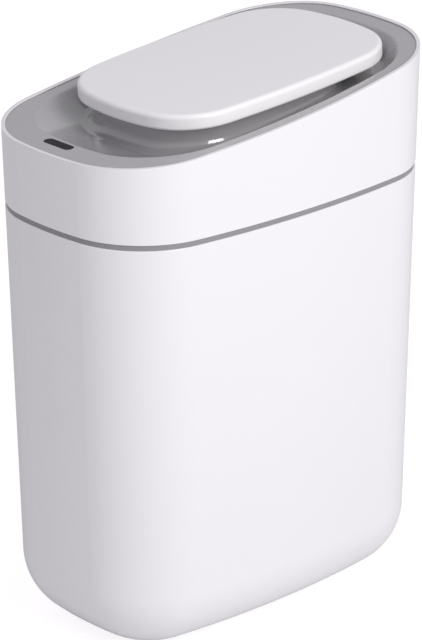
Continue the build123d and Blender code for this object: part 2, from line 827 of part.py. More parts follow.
def lid_liner():
    plate = Pos(0, 0, -lid_thickness) * extrude(lid_outline.grown(-lid_wall - seat_fit).face(),
                                                amount=liner_thickness)
    for x, y in lid_boss_places():
        plate -= upright(screw_hole_radius, x, y, -lid_thickness - overrun, 0)
    inner = hinge_post_across - hinge_post_thickness / 2 - swing_gap
    for side in (-1, 1):
        ends = sorted((side * inner, side * (inner - knuckle_width)))
        knuckle = crosswise(knuckle_radius, hinge_on_lid, -hinge_below_lid_top, ends[0], ends[1])
        knuckle += block(ends[0], ends[1], hinge_on_lid - knuckle_radius, hinge_on_lid + knuckle_radius,
                         -lid_thickness, -hinge_below_lid_top)
        plate += knuckle
        outer = hinge_post_across + hinge_post_thickness / 2 + clip_room
        slot = sorted((side * inner, side * outer))
        plate -= block(slot[0], slot[1], hinge_on_lid - post_slot_ahead, hinge_on_lid + post_slot_behind,
                       -lid_thickness - overrun, 0)
    plate -= block(drive_gear_across - drive_gear_width / 2 - swing_gap,
                   drive_gear_across + drive_gear_width / 2 + swing_gap,
                   hinge_on_lid - post_slot_ahead, hinge_on_lid + post_slot_behind,
                   -lid_thickness - overrun, 0)
    plate -= crosswise(hinge_shaft_radius + pin_fit, hinge_on_lid, -hinge_below_lid_top,
                       -half_width, half_width)
    return lid_place * plate


def lid_seal():
    """Soft ring under the liner, over the collar of the mouth."""
    wide = straight(mouth_outline.grown(throat_wall + seal_overhang), rim_front_z, head_ceiling_z)
    ring = wide - straight(mouth_outline.grown(-seal_overhang), rim_front_z - overrun, head_ceiling_z + overrun)
    return ring & lid_half_space(-lid_thickness - seal_thickness, -lid_thickness)


# Hinge: two leaning posts on the deck carry the shaft, and the shaft turns with the lid

def hinge_posts():
    posts = []
    for side in (-1, 1):
        middle = side * hinge_post_across
        left = middle - hinge_post_thickness / 2
        foot_z = hinge_z - post_lean - post_foot_radius
        profile = side_hull([(hinge_y, hinge_z, hinge_post_radius),
                             (hinge_y - post_lean, foot_z, post_foot_radius)])
        post = crosswise_slab(profile, left, left + hinge_post_thickness)
        post -= below_dish_underside()
        post -= crosswise(hinge_bush_radius + pin_fit, hinge_y, hinge_z, left - overrun,
                          left + hinge_post_thickness + overrun)
        posts.append(post)
    return posts


def below_dish_underside():
    """Half space under the middle of the dish's floor."""
    return chord_place * block(-half_width, half_width, -half_depth, half_depth,
                               -head_ceiling_z, -dish_depth - deck_thickness / 2)


def side_hull(circles):
    """Face in the YZ plane that wraps circles given as place along, height and radius."""
    rings = [Pos(y, z) * Circle(radius) for y, z, radius in circles]
    hull = make_hull([edge for ring in rings for edge in ring.edges()])
    return Plane.YZ * hull


def sector_slot():
    """Opening in the dish for the sector that hangs from the lid."""
    left = drive_gear_across - drive_gear_width / 2 - swing_gap
    right = drive_gear_across + drive_gear_width / 2 + swing_gap
    front = hinge_y - sector_tip_radius - swing_gap
    rear = hinge_y + knuckle_radius
    return block(left, right, front, rear, frame_top_z, head_ceiling_z)


def shaft_end():
    """How far the hinge shaft reaches on the side of the gears."""
    return drive_gear_across + drive_gear_width / 2 + clip_thickness + swing_gap


def hinge_shaft():
    left = -hinge_post_across - hinge_post_thickness / 2 - clip_thickness - swing_gap
    shaft = crosswise(hinge_shaft_radius, hinge_y, hinge_z, left, shaft_end())
    return chamfer(shaft.edges(), clip_thickness / 2)


def shaft_clips():
    outside = hinge_post_thickness / 2 + hinge_bush_flange_thickness + seat_fit
    left = -hinge_post_across - outside - clip_thickness
    clip = crosswise(clip_radius, hinge_y, hinge_z, left, left + clip_thickness)
    return clip - crosswise(hinge_shaft_radius, hinge_y, hinge_z, left - overrun, left + overrun)


def hinge_bushes():
    bushes = []
    for side in (-1, 1):
        middle = side * hinge_post_across
        half = hinge_post_thickness / 2
        sleeve = crosswise(hinge_bush_radius, hinge_y, hinge_z, middle - half, middle + half)
        flange = sorted((middle + side * half, middle + side * (half + hinge_bush_flange_thickness)))
        sleeve += crosswise(hinge_bush_flange, hinge_y, hinge_z, flange[0], flange[1])
        bore = crosswise(hinge_shaft_radius + running_fit, hinge_y, hinge_z,
                         middle - 2 * half, middle + 2 * half)
        bushes.append(sleeve - bore)
    return bushes


# Gears

def pitch_radius(module, teeth):
    return module * teeth / 2


def toothed(module, teeth, turn):
    """Involute gear outline in the plane; turn is the direction of one tooth's middle, in degrees."""
    pitch = pitch_radius(module, teeth)
    base = pitch * math.cos(math.radians(pressure_angle))
    tip = pitch + module
    root = pitch - 1.25 * module
    pitch_involute = math.tan(math.radians(pressure_angle)) - math.radians(pressure_angle)
    half_at_pitch = math.pi / (2 * teeth) - gear_backlash / pitch

    def half_angle(radius):
        angle = math.acos(min(1, base / radius))
        return half_at_pitch + pitch_involute - (math.tan(angle) - angle)

    def spot(radius, angle):
        return (radius * math.cos(angle), radius * math.sin(angle))

    start = max(base, root)
    middle = (start + tip) / 2
    edges = []
    step = 2 * math.pi / teeth
    for n in range(teeth):
        axis = math.radians(turn) + n * step
        flank = [(radius, half_angle(radius)) for radius in (start, middle, tip)]
        rise = [spot(radius, axis - half) for radius, half in flank]
        fall = [spot(radius, axis + half) for radius, half in reversed(flank)]
        foot = half_angle(start)
        if root < start:
            edges.append(Line(spot(root, axis - foot), rise[0]))
            edges.append(Line(fall[-1], spot(root, axis + foot)))
        edges.append(ThreePointArc(*rise))
        edges.append(ThreePointArc(rise[-1], spot(tip, axis), fall[0]))
        edges.append(ThreePointArc(*fall))
        edges.append(ThreePointArc(spot(root, axis + foot), spot(root, axis + step / 2),
                                   spot(root, axis + step - foot)))
    return Face(Wire([edge.edge() for edge in edges]))


def gear(module, teeth, turn, y, z, left, right):
    """Spur gear on an axle along X."""
    face = Plane.YZ * toothed(module, teeth, turn)
    return Pos(left, y, z) * extrude(face, amount=right - left, dir=(1, 0, 0))


def mate_turn(turn, teeth, mate_teeth, direction):
    """Turn of a gear that meshes with another, which lies behind it in the given direction."""
    return direction + 180 + 180 / mate_teeth - (turn - direction) * teeth / mate_teeth


def placed(y, z, direction, distance):
    """Point at a distance and direction from another, in the YZ plane."""
    angle = math.radians(direction)
    return y + distance * math.cos(angle), z + distance * math.sin(angle)


sector_turn = transfer_direction
drive_reach = pitch_radius(drive_module, sector_teeth) + pitch_radius(drive_module, drive_teeth)
inner_reach = pitch_radius(inner_module, wheel_teeth) + pitch_radius(inner_module, pinion_teeth)
transfer_y, transfer_z = placed(hinge_y, hinge_z, transfer_direction, drive_reach)
twin_reach = 2 * pitch_radius(drive_module, drive_teeth)
output_y, output_z = placed(transfer_y, transfer_z, output_direction, twin_reach)
idler_y, idler_z = placed(output_y, output_z, idler_direction, inner_reach)
motor_y, motor_z = placed(idler_y, idler_z, motor_direction, inner_reach)
transfer_turn = mate_turn(sector_turn, sector_teeth, drive_teeth, transfer_direction)
output_turn = mate_turn(transfer_turn, drive_teeth, drive_teeth, output_direction)
wheel_turn = output_turn
idler_pinion_turn = mate_turn(wheel_turn, wheel_teeth, pinion_teeth, idler_direction)
idler_wheel_turn = idler_pinion_turn
motor_turn = mate_turn(idler_wheel_turn, wheel_teeth, pinion_teeth, motor_direction)
sector_tip_radius = sector_pitch_radius + drive_module
gearbox_foot_front = idler_y - foot_ahead_of_idler
gearbox_foot_rear = idler_y + foot_behind_idler

# Places along X of the gears outside and inside the gearbox
drive_left = drive_gear_across - drive_gear_width / 2
drive_right = drive_gear_across + drive_gear_width / 2
box_left = drive_right + gear_end_play
box_inside = box_left + gearbox_wall
box_right = box_left + gearbox_depth
inner_left = box_inside + gear_end_play
inner_right = inner_left + inner_gear_width
outer_left = inner_right + inner_gear_gap
outer_right = outer_left + inner_gear_width


def lid_sector():
    """Toothed sector fixed on the hinge shaft, so that it turns with the lid."""
    wheel = gear(drive_module, sector_teeth, sector_turn, hinge_y, hinge_z, drive_left, drive_right)
    hub = crosswise(sector_hub_radius, hinge_y, hinge_z, drive_left, drive_right)
    rim_inner = sector_tip_radius - 2.25 * drive_module - sector_rim_thickness
    first = transfer_direction - sector_end_margin
    last = transfer_direction + lid_opening + sector_end_margin
    rim = (wheel - crosswise(rim_inner, hinge_y, hinge_z, drive_left - overrun, drive_right + overrun))
    rim = rim & wedge(first, last)
    web = (crosswise(rim_inner + sector_rim_thickness / 2, hinge_y, hinge_z, drive_left, drive_right)
           & wedge(first, first + sector_web_angle))
    sector = rim + web + hub
    return sector - crosswise(hinge_shaft_radius + pin_fit, hinge_y, hinge_z,
                              drive_left - overrun, drive_right + overrun)


def wedge(first, last):
    """Slice of space around the hinge between two directions."""
    far = 2 * sector_tip_radius
    middle = (first + last) / 2
    ends = [placed(hinge_y, hinge_z, angle, far) for angle in (first, middle, last)]
    corners = [(0, hinge_y, hinge_z)] + [(0, y, z) for y, z in ends]
    face = Face(Wire(Polyline(*corners, close=True).edges()))
    return crosswise_slab(face, drive_left - overrun, drive_right + overrun)


def bored(solid, y, z, radius):
    return solid - crosswise(radius, y, z, drive_left - overrun, box_right + overrun)


def transfer_gear():
    wheel = gear(drive_module, drive_teeth, transfer_turn, transfer_y, transfer_z, drive_left, drive_right)
    return bored(wheel, transfer_y, transfer_z, gear_pin_radius + running_fit)


def output_gear():
    wheel = gear(drive_module, drive_teeth, output_turn, output_y, output_z, drive_left, drive_right)
    wheel += crosswise(gear_hub_radius, output_y, output_z, drive_left, inner_right)
    wheel += gear(inner_module, wheel_teeth, wheel_turn, output_y, output_z, inner_left, inner_right)
    return bored(wheel, output_y, output_z, gear_pin_radius + running_fit)


def idler_gear():
    wheel = gear(inner_module, pinion_teeth, idler_pinion_turn, idler_y, idler_z, inner_left, outer_left)
    wheel += gear(inner_module, wheel_teeth, idler_wheel_turn, idler_y, idler_z, outer_left, outer_right)
    return bored(wheel, idler_y, idler_z, gear_pin_radius + running_fit)


def motor_pinion():
    wheel = gear(inner_module, pinion_teeth, motor_turn, motor_y, motor_z, outer_left, outer_right)
    return bored(wheel, motor_y, motor_z, motor_shaft_radius + pin_fit)


def motor_shaft():
    return crosswise(motor_shaft_radius, motor_y, motor_z, box_left - motor_length / 2, outer_right)


def gear_pins():
    outer = drive_left - clip_thickness
    cover = box_right + gearbox_wall
    return [crosswise(gear_pin_radius, transfer_y, transfer_z, outer, box_inside),
            crosswise(gear_pin_radius, output_y, output_z, outer, cover),
            crosswise(gear_pin_radius, idler_y, idler_z, box_left, cover)]


def gearbox_outline(grown):
    """Side view of the gearbox, wrapped round its wheels."""
    wheel = pitch_radius(inner_module, wheel_teeth) + inner_module + gearbox_tooth_room
    pinion = pitch_radius(inner_module, pinion_teeth) + inner_module + gearbox_tooth_room
    stub = 2 * gear_pin_radius
    return side_hull([(output_y, output_z, wheel + grown), (idler_y, idler_z, wheel + grown),
                      (motor_y, motor_z, pinion + grown), (transfer_y, transfer_z, stub + grown)])


def gearbox_screw_places():
    """Corners of the gearbox that its cover is screwed to."""
    away = pitch_radius(inner_module, wheel_teeth) + inner_module + gearbox_tooth_room + 2 * screw_radius
    return [placed(output_y, output_z, output_direction + 270, away),
            placed(idler_y, idler_z, idler_direction - 60, away),
            placed(output_y, output_z, motor_direction + 10, away)]


def gearbox_foot_places():
    """Screws that come up through the frame into the foot of the gearbox."""
    middle = (box_left + box_right) / 2
    inset = 2 * screw_radius
    return [(middle, gearbox_foot_front + inset), (middle, gearbox_foot_rear - inset)]


def gearbox_housing():
    shell = crosswise_slab(gearbox_outline(gearbox_wall), box_left, box_right)
    shell += block(box_left, box_right, gearbox_foot_front, gearbox_foot_rear, frame_top_z, idler_z)
    for y, z in gearbox_screw_places():
        shell += crosswise(2 * screw_radius, y, z, box_left, box_right)
    shell -= crosswise_slab(gearbox_outline(0), box_inside, box_right + overrun)
    for y, z in gearbox_screw_places():
        shell -= crosswise(screw_radius + thread_fit, y, z, box_right - short_screw_length, box_right)
    for x, y in gearbox_foot_places():
        shell -= upright(screw_radius + thread_fit, x, y, frame_top_z, bin_top_z + short_screw_length)
    shell = bored(shell, transfer_y, transfer_z, gear_pin_radius + pin_fit)
    shell = bored(shell, output_y, output_z, gear_hub_radius + running_fit)
    shell = bored(shell, idler_y, idler_z, gear_pin_radius + pin_fit)
    return bored(shell, motor_y, motor_z, motor_nose_radius + pin_fit)


def gearbox_cover():
    left = box_right
    right = box_right + gearbox_wall
    cover = crosswise_slab(gearbox_outline(gearbox_wall), left, right)
    for y, z in gearbox_screw_places():
        cover += crosswise(2 * screw_radius, y, z, left, right)
        cover -= crosswise(screw_hole_radius, y, z, left - overrun, right + overrun)
    cover = bored(cover, output_y, output_z, gear_pin_radius + pin_fit)
    return bored(cover, idler_y, idler_z, gear_pin_radius + pin_fit)


def gearbox_screws():
    screws = []
    left = box_right + gearbox_wall
    for y, z in gearbox_screw_places():
        head = crosswise(screw_head_radius, y, z, left, left + screw_head_height)
        screws.append(head + crosswise(screw_radius, y, z, left - short_screw_length, left))
    return screws


def drive_motor():
    rear = box_left - motor_length
    can = crosswise(motor_radius, motor_y, motor_z, rear, box_left)
    can = chamfer(can.edges(), motor_nose_length / 2)
    can += crosswise(motor_nose_radius, motor_y, motor_z, box_left, box_left + motor_nose_length)
    for side in (-1, 1):
        z = motor_z + side * motor_tab_offset
        can += block(rear - motor_tab_length, rear + motor_tab_thickness,
                     motor_y - motor_tab_width / 2, motor_y + motor_tab_width / 2,
                     z - motor_tab_thickness / 2, z + motor_tab_thickness / 2)
    return can - crosswise(motor_shaft_radius + running_fit, motor_y, motor_z,
                           box_left - motor_length / 2, box_inside)


# Wires inside the head

def wire(points):
    """Sheathed lead that turns from run to run on arcs as large as the runs allow."""
    radii = []
    for before, corner, after in zip(points, points[1:], points[2:]):
        run_in = Vector(*corner) - Vector(*before)
        run_out = Vector(*after) - Vector(*corner)
        turn = math.radians(run_in.get_angle(run_out))
        room = 0.45 * min(run_in.length, run_out.length) / math.tan(turn / 2)
        radii.append(min(room, wire_bend))
    path = FilletPolyline(*points, radius=radii)
    start = Plane(path @ 0, z_dir=path % 0)
    return sweep(start * Circle(wire_radius), path=path)


def motor_plug(tab_rear):
    """Plug pushed over both tabs of the motor."""
    half = motor_tab_offset + socket_width / 2
    plug = block(tab_rear - plug_depth, tab_rear + motor_tab_length / 2, motor_y - socket_width / 2,
                 motor_y + socket_width / 2, motor_z - half, motor_z + half)
    room_y = motor_tab_width / 2 + seat_fit
    room_z = motor_tab_thickness / 2 + seat_fit
    for z in (motor_z - motor_tab_offset, motor_z + motor_tab_offset):
        plug -= block(tab_rear - seat_fit, tab_rear + overrun, motor_y - room_y, motor_y + room_y,
                      z - room_z, z + room_z)
    return plug


def switch_plug(blade_end):
    """Plug pushed over both blades of the switch, in the place of the switch."""
    half = switch_half_length / 2 + socket_width / 2
    plug = block(-half, half, -socket_width / 2, socket_width / 2, blade_end - plug_depth,
                 blade_end + switch_blade / 2)
    room_x = switch_wall + seat_fit
    room_y = switch_wall / 2 + seat_fit
    for x in (-switch_half_length / 2, switch_half_length / 2):
        plug -= block(x - room_x, x + room_x, -room_y, room_y, blade_end - seat_fit, blade_end + overrun)
    return switch_place * plug


def wiring():
    floor = frame_top_z + wire_radius + seat_fit
    inner_lane = column_across + column_radius + 2 * wire_radius + 2 * slide_fit
    outer_lane = inner_lane + 3 * wire_radius
    board_edge = -board_half_width
    halfway_down = (socket_wire_z + floor) / 2
    plug_back = box_left - motor_length - motor_tab_length - plug_depth
    motor_lead = wire([
        (board_edge, motor_socket_y, socket_wire_z),
        (board_edge - socket_length, motor_socket_y, socket_wire_z),
        (board_edge - 2.5 * socket_length, motor_socket_y + socket_length, halfway_down),
        (-inner_lane, column_front - 2 * socket_length, floor),
        (-inner_lane, column_rear + 2 * column_radius, floor),
        (-mouth_half_width, motor_y - 3 * socket_length, floor),
        (plug_back - 2 * socket_length, motor_y, (motor_z + floor) / 2),
        (plug_back - socket_length, motor_y, motor_z),
        (plug_back, motor_y, motor_z)])
    blade_end = -switch_depth - switch_blade
    ends = [switch_place * Pos(0, 0, blade_end - plug_depth - reach) for reach in (socket_length, 0)]
    approach, at_plug = [end.position for end in ends]
    switch_lead = wire([
        (board_edge, switch_socket_y, socket_wire_z),
        (board_edge - socket_length, switch_socket_y, socket_wire_z),
        (board_edge - 2.5 * socket_length, switch_socket_y + socket_width, halfway_down),
        (-outer_lane, column_front - 3 * socket_length, floor),
        (-outer_lane, column_rear + 2 * column_radius, floor),
        (-column_across, motor_y - 2 * socket_length, floor),
        (-4 * socket_length, motor_y - socket_width, floor),
        (approach.X, approach.Y, approach.Z),
        (at_plug.X, at_plug.Y, at_plug.Z)])
    bay_side = bay_half_width + bay_wall
    turn_x = board_half_width + 2 * socket_width
    battery_lead = wire([
        (board_half_width, motor_socket_y, socket_wire_z),
        (turn_x, motor_socket_y, socket_wire_z),
        (turn_x, motor_socket_y, cell_axis_z),
        (bay_side, motor_socket_y, cell_axis_z)])
    socket_top = board_top_z + socket_height
    under_sensor = (sensor_place * Pos(0, 0, -sensor_board_below - board_thickness)).position
    halfway_up = (socket_top + under_sensor.Z) / 2
    sensor_lead = wire([
        (sensor_socket_x, sensor_socket_y, socket_top),
        (sensor_socket_x, sensor_socket_y, halfway_up),
        (sensor_socket_x, under_sensor.Y, halfway_up),
        (sensor_socket_x, under_sensor.Y, under_sensor.Z - 2 * seat_fit)])
    return [motor_lead + motor_plug(plug_back + plug_depth), switch_lead + switch_plug(blade_end),
            battery_lead, sensor_lead]


# Screws that hold the head, the bay, the board and the lid's liner

def screw_up(x, y, seat, length):
    """Screw driven upwards, its head under a seat."""
    head = upright(screw_head_radius, x, y, seat - screw_head_height, seat)
    return head + upright(screw_radius, x, y, seat, seat + length)


def screw_down(x, y, seat, length):
    """Screw driven downwards, its head on a seat."""
    head = upright(screw_head_radius, x, y, seat, seat + screw_head_height)
    return head + upright(screw_radius, x, y, seat - length, seat)


def frame_screws():
    return [screw_up(x, y, bin_top_z, screw_length) for x, y in column_places + shell_boss_places]


def gearbox_foot_screws():
    return [screw_up(x, y, bin_top_z, short_screw_length) for x, y in gearbox_foot_places()]


def bay_screws():
    seat = frame_top_z + bay_wall
    return [screw_down(x, y, seat, short_screw_length) for x, y in bay_screw_spots()]


def board_screws():
    length = board_thickness + board_post_height - thread_fit
    return [screw_down(x, y, board_top_z, length) for x, y in board_screw_spots()]


def lid_screws():
    return [lid_place * screw_up(x, y, -lid_thickness, short_screw_length) for x, y in lid_boss_places()]


def write_node(name, shape):
    """One STEP file for each named piece; like pieces share one file as separate solids."""
    solids = shape if isinstance(shape, list) else [shape]
    node = Compound(children=[solid for item in solids for solid in item.solids()])
    node.label = name
    export_step(node, os.path.join("parts", name + ".step"))


nodes = {
    "bin_body": bin_body,
    "rubber_feet": rubber_feet,
    "head_shell": head_shell,
    "head_frame": head_frame,
    "deck": deck,
    "battery_box": battery_box,
    "batteries": batteries,
    "battery_contacts": battery_contacts,
    "battery_door": battery_door,
    "main_board": main_board,
    "board_parts": board_parts,
    "sensor_window": sensor_window,
    "sensor_board": sensor_board,
    "infrared_emitter": lambda: sensor_eye(-eye_across),
    "infrared_receiver": lambda: sensor_eye(eye_across),
    "status_light": status_light,
    "switch_housing": switch_housing,
    "switch_rocker": switch_rocker,
    "lid_cover": lid_cover,
    "lid_liner": lid_liner,
    "lid_seal": lid_seal,
    "hinge_shaft": hinge_shaft,
    "hinge_bushes": hinge_bushes,
    "shaft_clip": shaft_clips,
    "lid_sector": lid_sector,
    "transfer_gear": transfer_gear,
    "output_gear": output_gear,
    "idler_gear": idler_gear,
    "gear_pins": gear_pins,
    "motor_pinion": motor_pinion,
    "motor_shaft": motor_shaft,
    "drive_motor": drive_motor,
    "gearbox_housing": gearbox_housing,
    "gearbox_cover": gearbox_cover,
    "gearbox_screws": gearbox_screws,
    "frame_screws": frame_screws,
    "gearbox_foot_screws": gearbox_foot_screws,
    "bay_screws": bay_screws,
    "board_screws": board_screws,
    "lid_screws": lid_screws,
    "wiring": wiring,
}

os.makedirs("parts", exist_ok=True)
for node_name, make in nodes.items():
    write_node(node_name, make())
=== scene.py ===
import math

import bmesh
import bpy
import numpy
from mathutils import Matrix, Vector


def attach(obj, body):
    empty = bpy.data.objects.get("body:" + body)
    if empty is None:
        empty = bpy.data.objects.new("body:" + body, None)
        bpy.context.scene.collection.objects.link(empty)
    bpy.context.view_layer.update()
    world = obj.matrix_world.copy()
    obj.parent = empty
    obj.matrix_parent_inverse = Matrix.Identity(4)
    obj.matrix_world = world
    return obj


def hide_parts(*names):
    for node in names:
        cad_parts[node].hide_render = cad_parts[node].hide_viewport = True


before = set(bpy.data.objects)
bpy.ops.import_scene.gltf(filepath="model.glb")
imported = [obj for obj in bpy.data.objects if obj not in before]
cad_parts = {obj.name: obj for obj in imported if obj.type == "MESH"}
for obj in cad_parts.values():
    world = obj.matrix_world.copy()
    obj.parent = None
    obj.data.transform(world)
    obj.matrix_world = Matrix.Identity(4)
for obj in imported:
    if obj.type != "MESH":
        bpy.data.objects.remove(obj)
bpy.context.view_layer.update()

bpy.ops.object.select_all(action="DESELECT")


# Camera. The photograph looks down on the front right corner from chest height,
# through a long lens, with the whole bin filling the picture.
view_azimuth = math.radians(48.075)
view_elevation = math.radians(21.724)
view_roll = math.radians(-0.361)
view_target = Vector((-0.003187, 0.0, 0.197977))
view_distance = 2.3827
focal_pixels, picture_pixels = 3482.5, 640
film_size = 36
clip_near, clip_far = 0.05, 50

back = Vector((math.sin(view_azimuth) * math.cos(view_elevation),
               -math.cos(view_azimuth) * math.cos(view_elevation),
               math.sin(view_elevation)))
right = (-back).cross(Vector((0, 0, 1))).normalized()
up = right.cross(-back)
turned_right = right * math.cos(view_roll) + up * math.sin(view_roll)
turned_up = up * math.cos(view_roll) - right * math.sin(view_roll)
camera = bpy.data.objects.new("camera", bpy.data.cameras.new("camera"))
bpy.context.scene.collection.objects.link(camera)
camera.matrix_world = Matrix.Translation(view_target + back * view_distance) @ Matrix(
    (turned_right, turned_up, back)).transposed().to_4x4()
camera.data.sensor_width = film_size
camera.data.lens = focal_pixels * film_size / picture_pixels
camera.data.clip_start = clip_near
camera.data.clip_end = clip_far
bpy.context.scene.camera = camera
bpy.context.scene.view_settings.view_transform = "Standard"


# Floor and light. A seamless white table, one large soft light high on the right, and
# even light from all round, as in a product picture.
table_size, table_below_feet = 12, 0.0005
paper_white, paper_gloss = (0.86, 0.86, 0.87, 1), 0.9
backdrop_white = (1, 0.985, 1, 1)
backdrop_base, backdrop_glow = (0.3, 0.3, 0.3, 1), 0.86
room_tint, room_strength = (0.97, 0.96, 1.0, 1), 0.565
softbox_place, softbox_aim = Vector((1.85, -0.12, 1.35)), Vector((0, 0, 0.2))
softbox_width, softbox_height = 0.9, 1.3
softbox_watts, softbox_tint = 25, (1, 0.99, 0.98)


def add_node(tree, kind, inputs=None, **settings):
    """Adds a shader node with these settings, and these values at its inputs."""
    node = tree.nodes.new("ShaderNode" + kind)
    for name, value in settings.items():
        setattr(node, name, value)
    for socket, value in (inputs or {}).items():
        node.inputs[socket].default_value = value
    return node


def join(tree, *wires):
    """Links nodes. Each wire is a node, its output, the next node and its input."""
    for source, output, end, socket in wires:
        tree.links.new(source.outputs[output], end.inputs[socket])


def show_apart(tree, lit, seen, output, end):
    """Lights the scene with one shader, and shows the camera another."""
    way = add_node(tree, "LightPath")
    mix = add_node(tree, "MixShader")
    join(tree, (way, "Is Camera Ray", mix, "Fac"), (lit, output, mix, 1), (seen, output, mix, 2),
         (mix, "Shader", tree.nodes[end], "Surface"))


bpy.ops.mesh.primitive_plane_add(size=table_size, location=(0, 0, 0))
table = bpy.context.object
table.name = "white_table"
table.data.transform(Matrix.Translation((0, 0, -table_below_feet)))
table_white = bpy.data.materials.new("table_white")
table_white.use_nodes = True
table_lit = table_white.node_tree.nodes["Principled BSDF"]
table_lit.inputs["Base Color"].default_value = paper_white
table_lit.inputs["Roughness"].default_value = paper_gloss
table_seen = add_node(table_white.node_tree, "BsdfPrincipled", {
    "Base Color": backdrop_base, "Roughness": 1, "Specular IOR Level": 0,
    "Emission Color": backdrop_white, "Emission Strength": backdrop_glow})
show_apart(table_white.node_tree, table_lit, table_seen, "BSDF", "Material Output")
table.data.materials.append(table_white)

room = bpy.data.worlds.new("room")
bpy.context.scene.world = room
room.use_nodes = True
room_light = room.node_tree.nodes["Background"]
room_light.inputs["Color"].default_value = room_tint
room_light.inputs["Strength"].default_value = room_strength
room_seen = add_node(room.node_tree, "Background", {"Color": backdrop_white, "Strength": 1.0})
show_apart(room.node_tree, room_light, room_seen, "Background", "World Output")

lamp = bpy.data.lights.new("side_softbox", "AREA")
lamp.shape = "RECTANGLE"
lamp.size, lamp.size_y = softbox_width, softbox_height
lamp.energy = softbox_watts
lamp.color = softbox_tint
softbox = bpy.data.objects.new("side_softbox", lamp)
bpy.context.scene.collection.objects.link(softbox)
softbox.location = softbox_place
softbox.rotation_euler = (softbox_aim - softbox_place).to_track_quat("-Z", "Y").to_euler()
softbox.visible_camera = False


# Bin. One deep tub of white plastic, injection moulded with a polished outside,
# so it shows only the faint ripple and haze of its mould and no grain.
def new_group(name, inputs, outputs):
    """An empty shader group. Inputs and outputs are pairs of a name and a kind of socket."""
    group = bpy.data.node_groups.new(name, "ShaderNodeTree")
    for label, kind in inputs:
        group.interface.new_socket(label, in_out="INPUT", socket_type="NodeSocket" + kind)
    for label, kind in outputs:
        group.interface.new_socket(label, in_out="OUTPUT", socket_type="NodeSocket" + kind)
    return group, group.nodes.new("NodeGroupInput"), group.nodes.new("NodeGroupOutput")


skin_looks = (("Colour", "Color"), ("Roughness", "Float"), ("Normal", "Vector"))


def skin_group():
    """Slight mottling, uneven gloss, fine rubbed lines and a ripple, as a moulded skin has."""
    group, ends, out = new_group("moulded_skin", (
        ("Colour", "Color"), ("Mottle", "Float"), ("Gloss", "Float"), ("Rubbed", "Float"),
        ("Grain Scale", "Float"), ("Grain Depth", "Float")), skin_looks)
    where = add_node(group, "TexCoord")
    cloud = add_node(group, "TexNoise", {"Scale": 14, "Detail": 4})
    grain = add_node(group, "TexNoise", {"Detail": 3})
    dark = add_node(group, "Mix", data_type="RGBA", blend_type="MULTIPLY")
    spread = add_node(group, "MapRange", {"To Min": 0.88, "To Max": 1.08})
    gloss = add_node(group, "Math", operation="MULTIPLY")
    lines = add_node(group, "TexNoise", {"Scale": 220, "Detail": 6, "Distortion": 2.2})
    hair = add_node(group, "MapRange", {"From Min": 0.6, "From Max": 0.68})
    rub = add_node(group, "Math", operation="MULTIPLY_ADD")
    bump = add_node(group, "Bump", {"Strength": 0.6})
    join(group, (where, "Object", cloud, "Vector"), (where, "Object", grain, "Vector"),
         (where, "Object", lines, "Vector"), (ends, "Grain Scale", grain, "Scale"),
         (ends, "Mottle", dark, "Factor"), (ends, "Colour", dark, "A"), (cloud, "Fac", dark, "B"),
         (cloud, "Fac", spread, "Value"), (spread, "Result", gloss, 0), (ends, "Gloss", gloss, 1),
         (lines, "Fac", hair, "Value"), (hair, "Result", rub, 0), (ends, "Rubbed", rub, 1),
         (gloss, "Value", rub, 2), (grain, "Fac", bump, "Height"),
         (ends, "Grain Depth", bump, "Distance"), (dark, "Result", out, "Colour"),
         (rub, "Value", out, "Roughness"), (bump, "Normal", out, "Normal"))
    return group


moulded_skin = skin_group()


def finish_of(name, group, colour, values):
    """A material whose colour, roughness and normal come from a group set with these values."""
    made = bpy.data.materials.new(name)
    made.use_nodes = True
    tree = made.node_tree
    shader = tree.nodes["Principled BSDF"]
    skin = add_node(tree, "Group", node_tree=group)
    skin.inputs["Colour"].default_value = (*colour, 1)
    for label, value in values.items():
        skin.inputs[label].default_value = value
    join(tree, (skin, "Colour", shader, "Base Color"), (skin, "Roughness", shader, "Roughness"),
         (skin, "Normal", shader, "Normal"))
    return made, shader


def moulded(name, colour, gloss, mottle=0.04, rubbed=0.04, grain_scale=900, grain_depth=0.00002,
            coat=0.0, coat_gloss=0.08, coat_bend=1.5, shine=0.5):
    """Plastic or rubber with the moulded skin; gloss and coat_gloss are roughnesses."""
    made, shader = finish_of(name, moulded_skin, colour, {
        "Mottle": mottle, "Gloss": gloss, "Rubbed": rubbed,
        "Grain Scale": grain_scale, "Grain Depth": grain_depth})
    shader.inputs["Coat Weight"].default_value = coat
    shader.inputs["Coat Roughness"].default_value = coat_gloss
    shader.inputs["Coat IOR"].default_value = coat_bend
    shader.inputs["Specular IOR Level"].default_value = shine
    return made


def dress(node, material):
    """Gives a CAD node its material."""
    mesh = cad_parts[node].data
    mesh.materials.clear()
    mesh.materials.append(material)


pearl_white = moulded("pearl_white", (0.845, 0.83, 0.853), gloss=0.24, mottle=0.02, rubbed=0.02,
                      grain_scale=60, grain_depth=0.00004)
dress("bin_body", pearl_white)


# Feet. Four pads of black rubber pushed into round pockets under the bin, each with
# a rounded rim and a groove that lets it grip a wet floor.
nearly_square = 0.9
seed = 0.001


def let_go():
    """Leaves edit mode, with no piece selected."""
    if bpy.context.mode != "OBJECT":
        bpy.ops.object.mode_set(mode="OBJECT")
    bpy.ops.object.select_all(action="DESELECT")


def hold(piece):
    """Leaves edit mode and selects one piece alone."""
    let_go()
    piece.select_set(True)
    bpy.context.view_layer.objects.active = piece


def edit(piece):
    """Opens one piece in edit mode with nothing selected in it."""
    hold(piece)
    bpy.ops.object.mode_set(mode="EDIT")
    bpy.ops.mesh.select_all(action="DESELECT")


